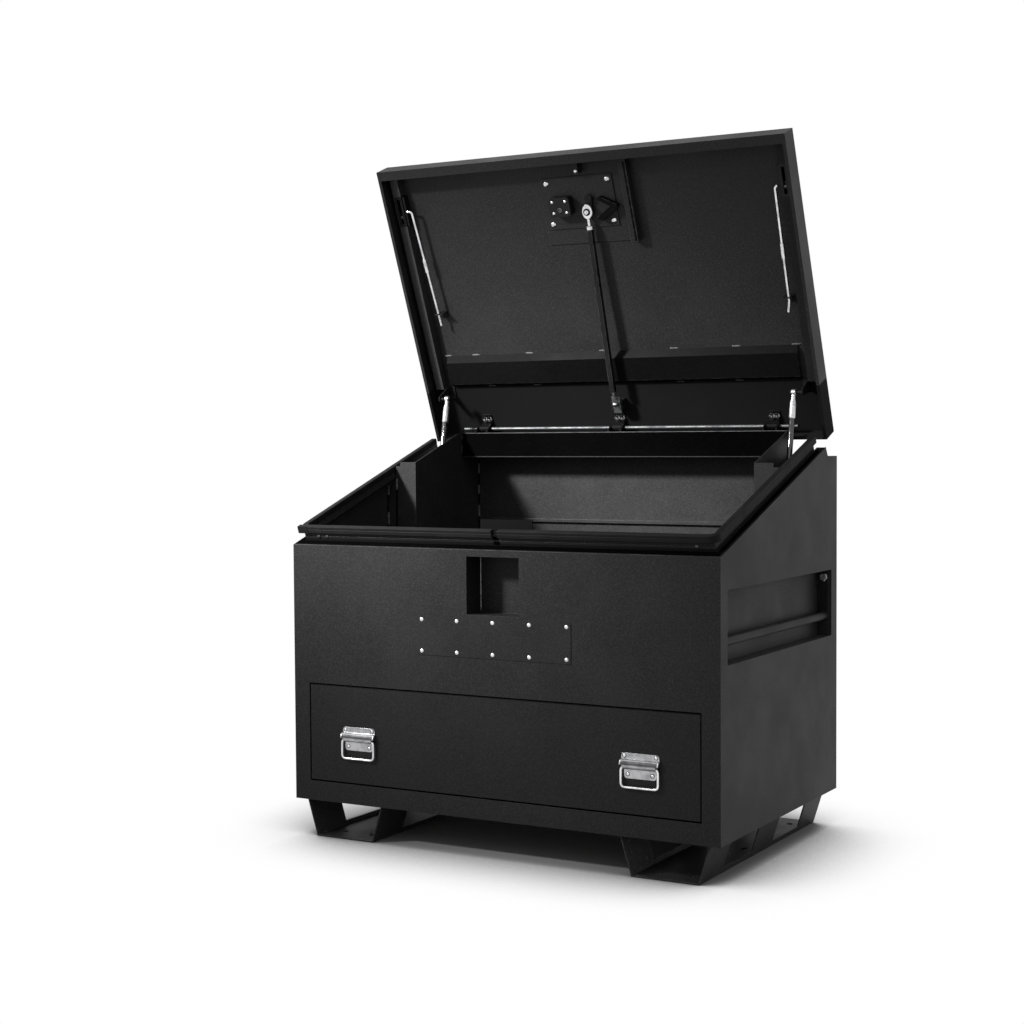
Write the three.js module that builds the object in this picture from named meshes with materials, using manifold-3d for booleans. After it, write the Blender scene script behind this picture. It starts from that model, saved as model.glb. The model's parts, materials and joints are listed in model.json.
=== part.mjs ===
// A jobsite storage box: a steel chest with a sloping top on two fork skids, its lid held open.
import * as THREE from "three";
import { mergeVertices } from "three/addons/utils/BufferGeometryUtils.js";
import Module from "manifold-3d";

const wasm = await Module();
wasm.setup();
const rad = THREE.MathUtils.degToRad;

// Sizes are in millimetres. X runs from the middle of the box, Y back from its front face and
// Z up from the underside of the body. On the sloping rim, s runs up the slope from its front
// edge and p stands square to it. On the lid, t runs forward from its rear edge and d runs in
// from its outer skin.

// Body
const BODY_WIDTH = 1200;
const BODY_DEPTH = 770;
const FRONT_HEIGHT = 662;
const SLOPE_ANGLE = rad(19.6);
const LEDGE_RUN = 84.4;
const STEP_RUN = 15.2;
const STEP_DROP = 23.6;
const SHEET = 2.5;
const SEAT = 0.3;
const OVERRUN = 5;
const FLOOR_HEIGHT = 315;
const WEB_SHORTFALL = 70;
const TRAY_RAIL = 10;
const TRAY_RAIL_HEIGHT = 692;
const TRAY_RAIL_GAP = 6;

// Rim: gutter, upright neck, rubber seal and the folded beam along its rear
const NECK_INSET = 22;
const NECK_SETBACK = 28;
const NECK_SHEET = 3;
const NECK_RISE = 25;
const NECK_SHORTFALL = 27.77;
const SEAL_WIDTH = 16;
const SEAL_HEIGHT = 15.7;
const SEAL_SIDE_INSET = 12;
const SEAL_SETBACK = 22;
const SEAL_CORNER = 26;
const SEAL_BEVEL = 4;
const SEAL_SLIT = 17;
const SEAL_SLIT_BASE = 3;
const REAR_RIM_FROM_BACK = 95;
const REAR_RIM_DEPTH = 12;
const REAR_RIM_RISE = 67.2;
const REAR_RIM_RETURN = 24.7;
const LEDGE_NOTCH = 15;

// Drawer opening and drawer
const OPENING_MARGIN = 47;
const OPENING_BOTTOM = 50.9;
const OPENING_HEIGHT = 254.4;
const DRAWER_GROOVE = 3.5;
const DRAWER_SHEET = 2;
const DRAWER_RETURN = 20;
const DRAWER_SHORTFALL = 80;
const DRAWER_BASE_GAP = 8;
const DRAWER_SIDE_DROP = 17;
const RUNNER_THICKNESS = 12.5;
const RUNNER_SHEET = 2;
const RUNNER_HEIGHT = 45;
const RUNNER_BOTTOM = 150;
const RUNNER_FRONT = 25;
const RUNNER_SHORTFALL = 100;
const RUNNING_GAP = 0.6;

// Lock recess, name plate and side pockets
const RECESS_WIDTH = 148;
const RECESS_BOTTOM = 502.5;
const RECESS_HEIGHT = 142.5;
const RECESS_DEPTH = 68;
const STRIKE_TOP = 733;
const PLATE_WIDTH = 432;
const PLATE_HEIGHT = 98;
const PLATE_BOTTOM = 397;
const PLATE_SHEET = 1.5;
const RIVET_COLUMNS = 5;
const RIVET_PITCH = 102.2;
const RIVET_ROW_EDGE = 10;
const RIVET_RADIUS = 3.2;
const RIVET_RISE = 1.2;
const POCKET_FRONT = 40.5;
const POCKET_FROM_BACK = 40.8;
const POCKET_BOTTOM = 411.7;
const POCKET_HEIGHT = 173;
const POCKET_DEPTH = 38.7;

// Side handles
const HANDLE_RADIUS = 11;
const HANDLE_DROP = 102;
const HANDLE_PIVOT_INSET = 20;
const HANDLE_PIVOT_DROP = 19.7;
const STRAP_WIDTH = 25;
const STRAP_SHEET = 4;
const STRAP_GAP = 0.5;
const BOLT_RADIUS = 5;
const BOLT_GAP = 0.3;
const BOLT_HEAD_RADIUS = 9;
const BOLT_HEAD = 6;
const BOLT_TAIL = 4;

// Skids
const SKID_HEIGHT = 96;
const SKID_INSET = 146;
const SKID_TOP_WIDTH = 234;
const SKID_BASE_WIDTH = 174;
const SKID_SHEET = 4;
const SKID_SETBACK = 11;
const SKID_FROM_BACK = 15;
const WINDOW_SILL = 15;
const WINDOW_SPANS = [[0.175, 0.413], [0.593, 0.831]];
const SKID_HOLE_RADIUS = 9;
const SKID_HOLE_EDGE = 62;
const SKID_HOLE_ROWS = 3;

// Strut guards
const GUARD_INSET = 96;
const GUARD_FROM_BACK = 339;
const GUARD_RISE = 50;
const GUARD_NOTCH_RISE = 39.5;
const GUARD_NOTCH_WIDTH = 14;
const GUARD_EDGE_GAP = 2;
const GUARD_ABOVE_POCKET = 13;

// Lid
const LID_PAST_SLOPE = 69.231;
const LID_DEPTH = 57.5;
const LID_RISE = 70;
const LID_OVERHANG = 5;
const LID_LIP = 25;
const LID_HEM = 9;
const HINGE_FROM_REAR = 26;
const HINGE_BELOW_SKIN = 27;
const LID_OPENING = rad(87.5);
const CHANNEL_INSET = 16;
const CHANNEL_WIDTH = 25;
const CHANNEL_DEPTH = 27;
const CHANNEL_START = 150;
const CHANNEL_FROM_FRONT = 27;
const HAT_INSET = 64;
const HAT_DEPTH = 17;
const HAT_PLACE = 0.18703;
const HAT_WIDTH = 95;
const HAT_FLANKS = [10, 19];

// Lock parts inside the lid
const BACKING_WIDTH = 251;
const BACKING_OFFSET = -3.5;
const BACKING_SHEET = 3;
const BACKING_FROM_FRONT = [252, 36];
const GUIDE_WIDTH = 22.7;
const GUIDE_DEPTH = 26;
const GUIDE_FROM_FRONT = [253, 31];
const LOCK_PLATE_X = [-120, 90];
const LOCK_PLATE_FROM_FRONT = [208.5, 69.5];
const LOCK_PLATE_SHEET = 3;
const LOCK_SCREW_EDGE = 14;
const LOCK_SCREW_RADIUS = 6;
const LOCK_SCREW_RISE = 3;
const LOCK_BODY_X = [-95, -34];
const LOCK_BODY_FROM_FRONT = [169.5, 117.5];
const LOCK_BODY_HEIGHT = 25.6;
const LOCK_BODY_CORNER = 9;
const LOCK_DOT_EDGE = 11;
const LOCK_DOT_RADIUS = 4;
const LOCK_DOT_RISE = 1;
const SPINDLE_X = 16.7;
const SPINDLE_FROM_FRONT = 129;
const SPINDLE_RADIUS = 7;
const SPINDLE_GAP = 1;
const SPINDLE_NUT_RADIUS = 12;
const SPINDLE_NUT = 5;
const LEVER_LENGTH = 105;
const LEVER_WIDTH = 22;
const LEVER_HEIGHT = 10;
const LEVER_BOSS_RADIUS = 20;
const LEVER_BOSS_RISE = 12;
const CRANK_WIDTH = 20;
const CRANK_SHEET = 5;
const CRANK_LIFT = 3;
// The stop's outline on the lock plate, as x and the distance from the lid's front edge
const STOP_OUTLINE = [[36, 130], [54, 126], [98, 146], [99, 155], [72, 165], [44, 192], [36, 186]];
const STOP_FLANGE = 17;
const ROD_PIN_X = 9.7;
const ROD_PIN_FROM_FRONT = 163.4;
const ROD_PIN_RADIUS = 5;
const ROD_PIN_HEAD_RADIUS = 9;
const ROD_PIN_HEAD = 3;
const ROD_EYE_RADIUS = 14;
const ROD_EYE_WIDTH = 10;
const ROD_PIN_GAP = 0.3;
const PUSH_ROD_STUD_RADIUS = 4.5;
const PUSH_ROD_TUBE = 14;
const PUSH_ROD_TUBE_FROM_FRONT = 212;
const PUSH_ROD_TUBE_END = 136;
const PUSH_ROD_NUT_RADIUS = 8;
const PUSH_ROD_NUT = 11;
const PUSH_ROD_END_AT = [-5, 100];
const PUSH_ROD_END_DEPTH = 40;
const PUSH_ROD_END_RADIUS = 7.5;
const REAR_BOLT_WIDTH = 24;
const REAR_BOLT_SPAN = [72, 118];
const REAR_BOLT_HEIGHT = 6;
const BOLT_GUIDE_SPAN = [80, 106];
const BOLT_GUIDE_CHEEK = 4;
const STRIKER_X = [-8, 6];
const STRIKER_FROM_FRONT = [60, 28];
const STRIKER_DEPTH = 28;
const STRIKER_RIVET_RADIUS = 4.5;
const STRIKER_RIVET_INSET = 8;
const STRIKER_RIVET_RISE = 2;

// Side latches and their rods
const LATCH_FROM_FRONT = [165, 80];
const LATCH_WIDTH = 22;
const LATCH_DEPTH = 26.5;
const LATCH_SLOT = 8;
const LATCH_END = 8;
const CLAW_FROM_FRONT = 138;
const CLAW_RADIUS = 10;
const CLAW_PIN_RADIUS = 3;
const CLAW_MOUTH = 7;
const CLAW_GAP = 0.6;
const ROD_RADIUS = 3.75;
const ROD_DEPTH = 25;
const ROD_SLEEVE_RADIUS = 5;
const ROD_GAP = 0.3;
// Each rod's corners from the latch end, as distances in from the lid's side and from its front edge
const ROD_CORNERS = {
  left: [[49.5, 123], [64.5, 125], [80, 441], [69, 456]],
  right: [[49.5, 134], [57, 137], [62, 436], [68, 462]],
};
const ROD_SLEEVES = { left: [261, 301], right: [280, 321] };
const ROD_BRACKET_FROM_FRONT = 424;
const ROD_BRACKET_SHEET = 3;
const ROD_BRACKET_WIDTH = 26;
const ROD_BRACKET_FOOT = 16;

// Gas struts
const STRUT_INSET = 70;
const STRUT_STUD_FROM_REAR = 134;
const STRUT_STUD_DEPTH = 62;
const STRUT_ANCHOR_FROM_BACK = 210;
const STRUT_ANCHOR_HEIGHT = 640;
const STRUT_EYE_RADIUS = 9;
const STRUT_EYE_WIDTH = 12;
const STRUT_STUD_RADIUS = 4;
const STRUT_STUD_GAP = 0.3;
const STRUT_SLEEVE_RADIUS = 9;
const STRUT_SLEEVE_LENGTH = 60;
const STRUT_TUBE_RADIUS = 7.5;
const STRUT_TUBE_END = 225;
const STRUT_ROD_RADIUS = 4;
const STRUT_ROD_START = 206;
const STRUT_BORE_START = 46;
const STRUT_PLATE = 3;
const STRUT_PLATE_WIDTH = 38;
const STRUT_PLATE_INSET = 45;
const STRUT_HEAD_RADIUS = 7;
const STRUT_HEAD = 3;
const ANCHOR_WIDTH = 40;
const ANCHOR_SHEET = 5;
const ANCHOR_PIN_GAP = 5;

// Hinges
const HINGE_ROD_RADIUS = 6;
const HINGE_ROD_LENGTH = 1030;
const HINGE_PLACES = { left: -446.5, centre: -16, right: 443 };
const KNUCKLE_RADIUS = 11;
const KNUCKLE_TANGENT = 9.6;
const KNUCKLE_GAP = 0.3;
const EAR_HALF = 15;
const EAR_SHEET = 5;
const EAR_GAP = 1;
const BRACKET_BASE = 3;
const BRACKET_BASE_DROP = 13;
const BRACKET_ARM_RISE = 6;
const FOOT_SHEET = 3;
const FOOT_REACH = 36;
const FOOT_BOLT_RADIUS = 6;
const FOOT_BOLT_RISE = 5;

// Drawer handles
const CHEST_HANDLE_INSET = 155;
const FLANGE_WIDTH = 98;
const FLANGE_TOP = 199;
const FLANGE_CORNER = 8;
const HOOD_WIDTH = 101;
const HOOD_TOP = 186;
const HOOD_SPLIT = 172;
const HOOD_BOTTOM = 160;
const HOOD_DEPTH = 13;
const BARREL_WIDTH = 87;
const LOWER_WIDTH = 84;
const LOWER_BOTTOM = 139;
const HANDLE_SHEET = 2;
const HANDLE_SCREW_RADIUS = 3.5;
const HANDLE_SCREW_RISE = 1;
const UPPER_SCREW_X = 41;
const LOWER_SCREW_X = 32;
const BAIL_RADIUS = 3.5;
const BAIL_WIDTH = 96;
const BAIL_PIVOT = [7, 167];
const BAIL_DROP = 48;
const BAIL_CORNER = 10;
const BAIL_INNER_BEND = 4;
const BAIL_GRIP = 10;
const BAIL_GAP = 0.3;
const BAIL_STEPS = 44;
const BAIL_SIDES = 8;

// Facets
const ROUND_SIDES = 16;
const SMALL_SIDES = 10;
const TUBE_SIDES = 12;
const HEX_SIDES = 6;
const ARC_STEPS = 4;
const MERGE_DISTANCE = 1e-3;

// Places worked out from the sizes above
const HALF_WIDTH = BODY_WIDTH / 2;
const INNER_WALL = HALF_WIDTH - SHEET;
const REAR_WALL = BODY_DEPTH - SHEET;
const SLOPE_RUN = BODY_DEPTH - LEDGE_RUN;
const OPENING_WIDTH = BODY_WIDTH - 2 * OPENING_MARGIN;
const CHEST_HANDLE_X = OPENING_WIDTH / 2 - CHEST_HANDLE_INSET;
const REAR_RIM_AT = BODY_DEPTH - REAR_RIM_FROM_BACK;
const GUARD_FRONT = BODY_DEPTH - GUARD_FROM_BACK;
const POCKET_END = BODY_DEPTH - POCKET_FROM_BACK;
const DRAWER_DEPTH = BODY_DEPTH - DRAWER_SHORTFALL;
const RUNNER_LENGTH = BODY_DEPTH - RUNNER_SHORTFALL;
const SKID_LENGTH = BODY_DEPTH - SKID_SETBACK - SKID_FROM_BACK;
const SKID_CENTRE = HALF_WIDTH - SKID_INSET;
const slopeTop = (y) => FRONT_HEIGHT + y * Math.tan(SLOPE_ANGLE);
const LEDGE_HEIGHT = slopeTop(SLOPE_RUN) - STEP_DROP;
const SLOPE_LENGTH = SLOPE_RUN / Math.cos(SLOPE_ANGLE);
const NECK_END = SLOPE_LENGTH - NECK_SHORTFALL;
const LID_LENGTH = LID_OVERHANG + SLOPE_LENGTH + LID_PAST_SLOPE;
const fromFront = (reach) => LID_LENGTH - reach;
const SPINDLE_AT = [SPINDLE_X, fromFront(SPINDLE_FROM_FRONT)];
const ROD_PIN_AT = [ROD_PIN_X, fromFront(ROD_PIN_FROM_FRONT)];
const LATCH_SPAN = LATCH_FROM_FRONT.map(fromFront);
const LOCK_PLATE_SPAN = LOCK_PLATE_FROM_FRONT.map(fromFront);
const LOCK_BODY_SPAN = LOCK_BODY_FROM_FRONT.map(fromFront);
const STRIKER_SPAN = STRIKER_FROM_FRONT.map(fromFront);
const CLAW_AT = fromFront(CLAW_FROM_FRONT);
const ROD_BRACKET_AT = fromFront(ROD_BRACKET_FROM_FRONT);
const SLOPE = new THREE.Matrix4().makeTranslation(0, 0, FRONT_HEIGHT)
  .multiply(new THREE.Matrix4().makeRotationX(SLOPE_ANGLE));
const onSlope = (s, p) => new THREE.Vector3(0, s, p).applyMatrix4(SLOPE);
const heightAt = (y, p) => slopeTop(y) + p / Math.cos(SLOPE_ANGLE);
const GUARD_FACE = HALF_WIDTH - GUARD_INSET;
const STRUT_ANCHOR = [BODY_DEPTH - STRUT_ANCHOR_FROM_BACK, STRUT_ANCHOR_HEIGHT];
const HINGE_AXIS = onSlope(LID_LENGTH - LID_OVERHANG - HINGE_FROM_REAR, LID_RISE - HINGE_BELOW_SKIN);
const LID_TURN = Math.PI + SLOPE_ANGLE - LID_OPENING;
const LID = new THREE.Matrix4().makeTranslation(0, HINGE_AXIS.y, HINGE_AXIS.z)
  .multiply(new THREE.Matrix4().makeRotationX(LID_TURN))
  .multiply(new THREE.Matrix4().makeTranslation(0, -HINGE_FROM_REAR, -HINGE_BELOW_SKIN));
const LID_INNER = SHEET + SEAT;

// Solids
const AXIS_TURNS = {
  x: new THREE.Matrix4().makeBasis(new THREE.Vector3(0, 1, 0), new THREE.Vector3(0, 0, 1),
    new THREE.Vector3(1, 0, 0)),
  y: new THREE.Matrix4().makeBasis(new THREE.Vector3(0, 0, 1), new THREE.Vector3(1, 0, 0),
    new THREE.Vector3(0, 1, 0)),
  z: new THREE.Matrix4(),
};

// The closed solid of a three.js geometry.
function solidOf(geometry) {
  const loose = geometry.index ? geometry.toNonIndexed() : geometry;
  const bare = new THREE.BufferGeometry().setAttribute("position", loose.getAttribute("position"));
  const merged = mergeVertices(bare, MERGE_DISTANCE);
  return new wasm.Manifold(new wasm.Mesh({
    numProp: 3,
    vertProperties: merged.getAttribute("position").array,
    triVerts: new Uint32Array(merged.index.array),
  }));
}

function geometryOf(solid) {
  const { vertProperties, triVerts } = solid.getMesh();
  return new THREE.BufferGeometry()
    .setAttribute("position", new THREE.BufferAttribute(vertProperties, 3))
    .setIndex(new THREE.BufferAttribute(triVerts, 1));
}

function join(...geometries) {
  return geometryOf(geometries.map(solidOf).reduce((whole, part) => whole.add(part)));
}

function cut(geometry, ...cutters) {
  return geometryOf(cutters.map(solidOf).reduce((whole, part) => whole.subtract(part), solidOf(geometry)));
}

// A block between two limits along each axis, given in any order.
function block(x, y, z) {
  const spans = [x, y, z].map(([from, to]) => [Math.abs(to - from), (from + to) / 2]);
  const geometry = new THREE.BoxGeometry(...spans.map(([size]) => size));
  return geometry.translate(...spans.map(([, middle]) => middle));
}

// An outline across one axis, pushed along it. Outlines are (y, z), (x, z) or (x, y) points.
function prism(axis, outline, [from, to]) {
  const flat = outline.map(([a, b]) => (axis === "y" ? new THREE.Vector2(b, a) : new THREE.Vector2(a, b)));
  const settings = { depth: Math.abs(to - from), bevelEnabled: false };
  const pushed = new THREE.ExtrudeGeometry(new THREE.Shape(flat), settings);
  return pushed.translate(0, 0, Math.min(from, to)).applyMatrix4(AXIS_TURNS[axis]);
}

// A round bar between two points.
function bar(from, to, radius, sides = ROUND_SIDES) {
  const start = new THREE.Vector3(...from);
  const end = new THREE.Vector3(...to);
  const turn = new THREE.Quaternion().setFromUnitVectors(
    new THREE.Vector3(0, 1, 0), end.clone().sub(start).normalize());
  const geometry = new THREE.CylinderGeometry(radius, radius, start.distanceTo(end), sides);
  return geometry.applyQuaternion(turn).translate(...start.add(end).divideScalar(2));
}

// A square bar between two points, its sides along the frame's own axes.
function squareBar(from, to, size) {
  const start = new THREE.Vector3(...from);
  const end = new THREE.Vector3(...to);
  const turn = new THREE.Quaternion().setFromUnitVectors(
    new THREE.Vector3(0, 1, 0), end.clone().sub(start).normalize());
  const geometry = new THREE.BoxGeometry(size, start.distanceTo(end), size);
  return geometry.applyQuaternion(turn).translate(...start.add(end).divideScalar(2));
}

// Points of an arc about a centre, from one angle to another in degrees.
function arc([a, b], radius, from, to, steps = ARC_STEPS) {
  return Array.from({ length: steps + 1 }, (_, i) => {
    const angle = rad(from + ((to - from) * i) / steps);
    return [a + radius * Math.cos(angle), b + radius * Math.sin(angle)];
  });
}

// A rectangle with rounded corners, as outline points.
function roundedRectangle([left, right], [bottom, top], corner) {
  return [
    ...arc([right - corner, bottom + corner], corner, -90, 0),
    ...arc([right - corner, top - corner], corner, 0, 90),
    ...arc([left + corner, top - corner], corner, 90, 180),
    ...arc([left + corner, bottom + corner], corner, 180, 270),
  ];
}

// Finishes
const finish = (color, roughness, metalness) =>
  new THREE.MeshStandardMaterial({ color, roughness, metalness });
const blackCoat = () => finish(0x1b1b1d, 0.62, 0.3);
const chrome = () => finish(0xc9cbce, 0.18, 1);
const zinc = () => finish(0xa9abac, 0.38, 0.9);
const blackRubber = () => finish(0x101011, 0.8, 0);
const blackPlastic = () => finish(0x141416, 0.45, 0);
const blackGloss = () => finish(0x0d0d0e, 0.15, 0.4);

const box = new THREE.Group();

// Adds one named piece to the box, in the body's frame or in the frame of a matrix.
function piece(name, geometry, material, frame = new THREE.Matrix4()) {
  const faceted = geometry.index ? geometry.toNonIndexed() : geometry;
  faceted.computeVertexNormals();
  const mesh = new THREE.Mesh(faceted, material);
  mesh.name = name;
  mesh.applyMatrix4(frame);
  box.add(mesh);
}

// Body panels
function frontPanel() {
  const neckOuter = HALF_WIDTH - NECK_INSET;
  const face = block([-HALF_WIDTH, HALF_WIDTH], [0, SHEET], [0, FRONT_HEIGHT]);
  const gutter = block([-INNER_WALL, INNER_WALL], [0, NECK_SETBACK + NECK_SHEET], [-SHEET, 0]);
  const neck = block([-neckOuter, neckOuter], [NECK_SETBACK, NECK_SETBACK + NECK_SHEET], [-SHEET, NECK_RISE]);
  const drawerOpening = block([-OPENING_WIDTH / 2, OPENING_WIDTH / 2], [-OVERRUN, SHEET + OVERRUN],
    [OPENING_BOTTOM, OPENING_BOTTOM + OPENING_HEIGHT]);
  const recessOpening = block([-RECESS_WIDTH / 2, RECESS_WIDTH / 2], [-OVERRUN, SHEET + OVERRUN],
    [RECESS_BOTTOM, RECESS_BOTTOM + RECESS_HEIGHT]);
  const solid = join(face, gutter.applyMatrix4(SLOPE), neck.applyMatrix4(SLOPE));
  return cut(solid, drawerOpening, recessOpening);
}

function sidePanel(side) {
  const outline = [[SHEET, 0], [SHEET, slopeTop(SHEET)], [SLOPE_RUN, slopeTop(SLOPE_RUN)],
    [SLOPE_RUN + STEP_RUN, LEDGE_HEIGHT], [REAR_WALL, LEDGE_HEIGHT], [REAR_WALL, 0]];
  const wall = prism("x", outline, [side * INNER_WALL, side * HALF_WIDTH]);
  const neckOuter = HALF_WIDTH - NECK_INSET;
  const rimStart = NECK_SETBACK + NECK_SHEET + SEAT;
  const gutter = block([side * (neckOuter - NECK_SHEET), side * (HALF_WIDTH - SHEET / 2)],
    [rimStart, SLOPE_LENGTH - SHEET], [-SHEET, 0]);
  const neck = block([side * (neckOuter - NECK_SHEET), side * neckOuter], [rimStart, NECK_END],
    [-SHEET, NECK_RISE]);
  const slot = block([side * (INNER_WALL - OVERRUN), side * (HALF_WIDTH + OVERRUN)],
    [POCKET_FRONT - SHEET, POCKET_END + SHEET],
    [POCKET_BOTTOM - SHEET, POCKET_BOTTOM + POCKET_HEIGHT + SHEET]);
  return join(cut(wall, slot), gutter.applyMatrix4(SLOPE), neck.applyMatrix4(SLOPE));
}

function backPanel() {
  const face = block([-HALF_WIDTH, HALF_WIDTH], [REAR_WALL, BODY_DEPTH], [0, LEDGE_HEIGHT]);
  const ledgeStart = REAR_RIM_AT + LEDGE_NOTCH;
  const ledge = block([-INNER_WALL, INNER_WALL], [ledgeStart, BODY_DEPTH - SHEET / 2],
    [LEDGE_HEIGHT - SHEET, LEDGE_HEIGHT]);
  const ledgeFront = block([SEAT - GUARD_FACE, GUARD_FACE - SEAT], [REAR_RIM_AT, ledgeStart + SHEET],
    [LEDGE_HEIGHT - SHEET, LEDGE_HEIGHT]);
  const railEnd = GUARD_FACE - TRAY_RAIL_GAP;
  const rail = block([-railEnd, railEnd], [REAR_WALL - TRAY_RAIL, BODY_DEPTH - SHEET / 2],
    [TRAY_RAIL_HEIGHT, TRAY_RAIL_HEIGHT + TRAY_RAIL]);
  return join(face, ledge, ledgeFront, rail);
}

function bottomPanel() {
  return block([-INNER_WALL, INNER_WALL], [SHEET, REAR_WALL], [0, SHEET]);
}

// The storage floor, with a web down each side of the drawer.
function compartmentFloor() {
  const webInner = OPENING_WIDTH / 2 - SHEET + SEAT;
  const underside = FLOOR_HEIGHT - SHEET;
  const floor = block([-INNER_WALL, INNER_WALL], [SHEET, REAR_WALL], [underside, FLOOR_HEIGHT]);
  const webs = [-1, 1].map((side) => block([side * webInner, side * (webInner + SHEET)],
    [SHEET, BODY_DEPTH - WEB_SHORTFALL + SHEET], [SHEET, underside + SHEET / 2]));
  return join(floor, ...webs);
}

// Rim pieces
function rearRim() {
  const top = LEDGE_HEIGHT + REAR_RIM_RISE;
  const back = REAR_RIM_AT + REAR_RIM_DEPTH;
  const outline = [[REAR_RIM_AT, LEDGE_HEIGHT], [REAR_RIM_AT, top], [back, top],
    [back, top - REAR_RIM_RETURN], [back - SHEET, top - REAR_RIM_RETURN], [back - SHEET, top - SHEET],
    [REAR_RIM_AT + SHEET, top - SHEET],
    [REAR_RIM_AT + SHEET, LEDGE_HEIGHT]];
  return prism("x", outline, [-GUARD_FACE, GUARD_FACE]);
}

function rimSeal() {
  const outerX = HALF_WIDTH - SEAL_SIDE_INSET - SEAL_BEVEL;
  const innerX = HALF_WIDTH - SEAL_SIDE_INSET - SEAL_WIDTH + SEAL_BEVEL;
  const outerS = SEAL_SETBACK + SEAL_BEVEL;
  const innerS = SEAL_SETBACK + SEAL_WIDTH - SEAL_BEVEL;
  const end = NECK_END - SEAL_BEVEL;
  const outer = SEAL_CORNER - SEAL_BEVEL;
  const inner = outer + outerX - innerX - SEAL_WIDTH + SEAL_BEVEL;
  const outline = [[-outerX, end], ...arc([outer - outerX, outerS + outer], outer, 180, 270),
    ...arc([outerX - outer, outerS + outer], outer, 270, 360), [outerX, end], [innerX, end],
    ...arc([innerX - inner, innerS + inner], inner, 360, 270),
    ...arc([inner - innerX, innerS + inner], inner, 270, 180), [-innerX, end]];
  const settings = { depth: SEAL_HEIGHT - 2 * SEAL_BEVEL, bevelEnabled: true, bevelSize: SEAL_BEVEL,
    bevelThickness: SEAL_BEVEL, bevelSegments: 2 };
  const shape = new THREE.Shape(outline.map(([x, s]) => new THREE.Vector2(x, s)));
  const bulb = new THREE.ExtrudeGeometry(shape, settings).translate(0, 0, NECK_RISE + SEAT + SEAL_BEVEL);
  const middle = (STRIKER_X[0] + STRIKER_X[1]) / 2;
  const slit = block([middle - SEAL_SLIT / 2, middle + SEAL_SLIT / 2],
    [SEAL_SETBACK - OVERRUN, SEAL_SETBACK + SEAL_WIDTH + OVERRUN],
    [NECK_RISE + SEAT + SEAL_SLIT_BASE, NECK_RISE + SEAL_HEIGHT + OVERRUN]);
  return cut(bulb, slit);
}

// The recess for the lock in the front panel; its back wall stands up as the strike plate.
function lockWell() {
  const half = RECESS_WIDTH / 2;
  const top = RECESS_BOTTOM + RECESS_HEIGHT;
  const shell = block([-half - SHEET, half + SHEET], [SHEET, RECESS_DEPTH + SHEET],
    [RECESS_BOTTOM - SHEET, top + SHEET]);
  const hollow = block([-half, half], [SHEET - OVERRUN, RECESS_DEPTH], [RECESS_BOTTOM, top]);
  const strike = block([-half, half], [RECESS_DEPTH, RECESS_DEPTH + SHEET], [top, STRIKE_TOP]);
  return join(cut(shell, hollow), strike);
}

function namePlate() {
  const half = PLATE_WIDTH / 2;
  const top = PLATE_BOTTOM + PLATE_HEIGHT;
  const plate = block([-half, half], [-PLATE_SHEET, 0], [PLATE_BOTTOM, top]);
  const heads = [];
  for (let column = 0; column < RIVET_COLUMNS; column += 1) {
    const x = (column - (RIVET_COLUMNS - 1) / 2) * RIVET_PITCH;
    for (const z of [PLATE_BOTTOM + RIVET_ROW_EDGE, top - RIVET_ROW_EDGE]) {
      heads.push(bar([x, -PLATE_SHEET / 2, z], [x, -PLATE_SHEET - RIVET_RISE, z], RIVET_RADIUS, SMALL_SIDES));
    }
  }
  return join(plate, ...heads);
}

// The side pocket, with a hole for the handle's pivot bolt in each end wall.
const HANDLE_PIVOT_X = HALF_WIDTH - HANDLE_PIVOT_INSET;
const HANDLE_PIVOT_Z = POCKET_BOTTOM + POCKET_HEIGHT - HANDLE_PIVOT_DROP;
const POCKET_ENDS = [POCKET_FRONT, POCKET_END];

function sidePocket(side) {
  const back = HALF_WIDTH - POCKET_DEPTH;
  const top = POCKET_BOTTOM + POCKET_HEIGHT;
  const shell = block([side * (back - SHEET), side * HALF_WIDTH],
    [POCKET_ENDS[0] - SHEET, POCKET_ENDS[1] + SHEET], [POCKET_BOTTOM - SHEET, top + SHEET]);
  const hollow = block([side * back, side * (HALF_WIDTH + OVERRUN)], POCKET_ENDS, [POCKET_BOTTOM, top]);
  const holes = bar([side * HANDLE_PIVOT_X, -OVERRUN, HANDLE_PIVOT_Z],
    [side * HANDLE_PIVOT_X, BODY_DEPTH + OVERRUN, HANDLE_PIVOT_Z], BOLT_RADIUS + BOLT_GAP);
  return cut(shell, hollow, holes);
}

// A round grip between two flat straps, each turning on a bolt through the end of its pocket.
function sideHandle(side) {
  const x = side * HANDLE_PIVOT_X;
  const low = HANDLE_PIVOT_Z - HANDLE_DROP;
  const half = STRAP_WIDTH / 2;
  const strapOutline = [...arc([x, HANDLE_PIVOT_Z], half, 0, 180), ...arc([x, low], half, 180, 360)];
  const pieces = [];
  for (const [end, inward] of [[POCKET_ENDS[0], 1], [POCKET_ENDS[1], -1]]) {
    const outer = end + inward * STRAP_GAP;
    const inner = outer + inward * STRAP_SHEET;
    pieces.push(prism("y", strapOutline, [outer, inner]));
    pieces.push(bar([x, outer - inward * (STRAP_GAP + SHEET + BOLT_TAIL), HANDLE_PIVOT_Z],
      [x, inner, HANDLE_PIVOT_Z], BOLT_RADIUS));
    pieces.push(bar([x, outer + inward * STRAP_SHEET / 2, HANDLE_PIVOT_Z],
      [x, inner + inward * BOLT_HEAD, HANDLE_PIVOT_Z], BOLT_HEAD_RADIUS, HEX_SIDES));
  }
  const grip = bar([x, POCKET_ENDS[0] + STRAP_GAP + STRAP_SHEET / 2, low],
    [x, POCKET_ENDS[1] - STRAP_GAP - STRAP_SHEET / 2, low], HANDLE_RADIUS);
  return join(grip, ...pieces);
}

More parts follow.
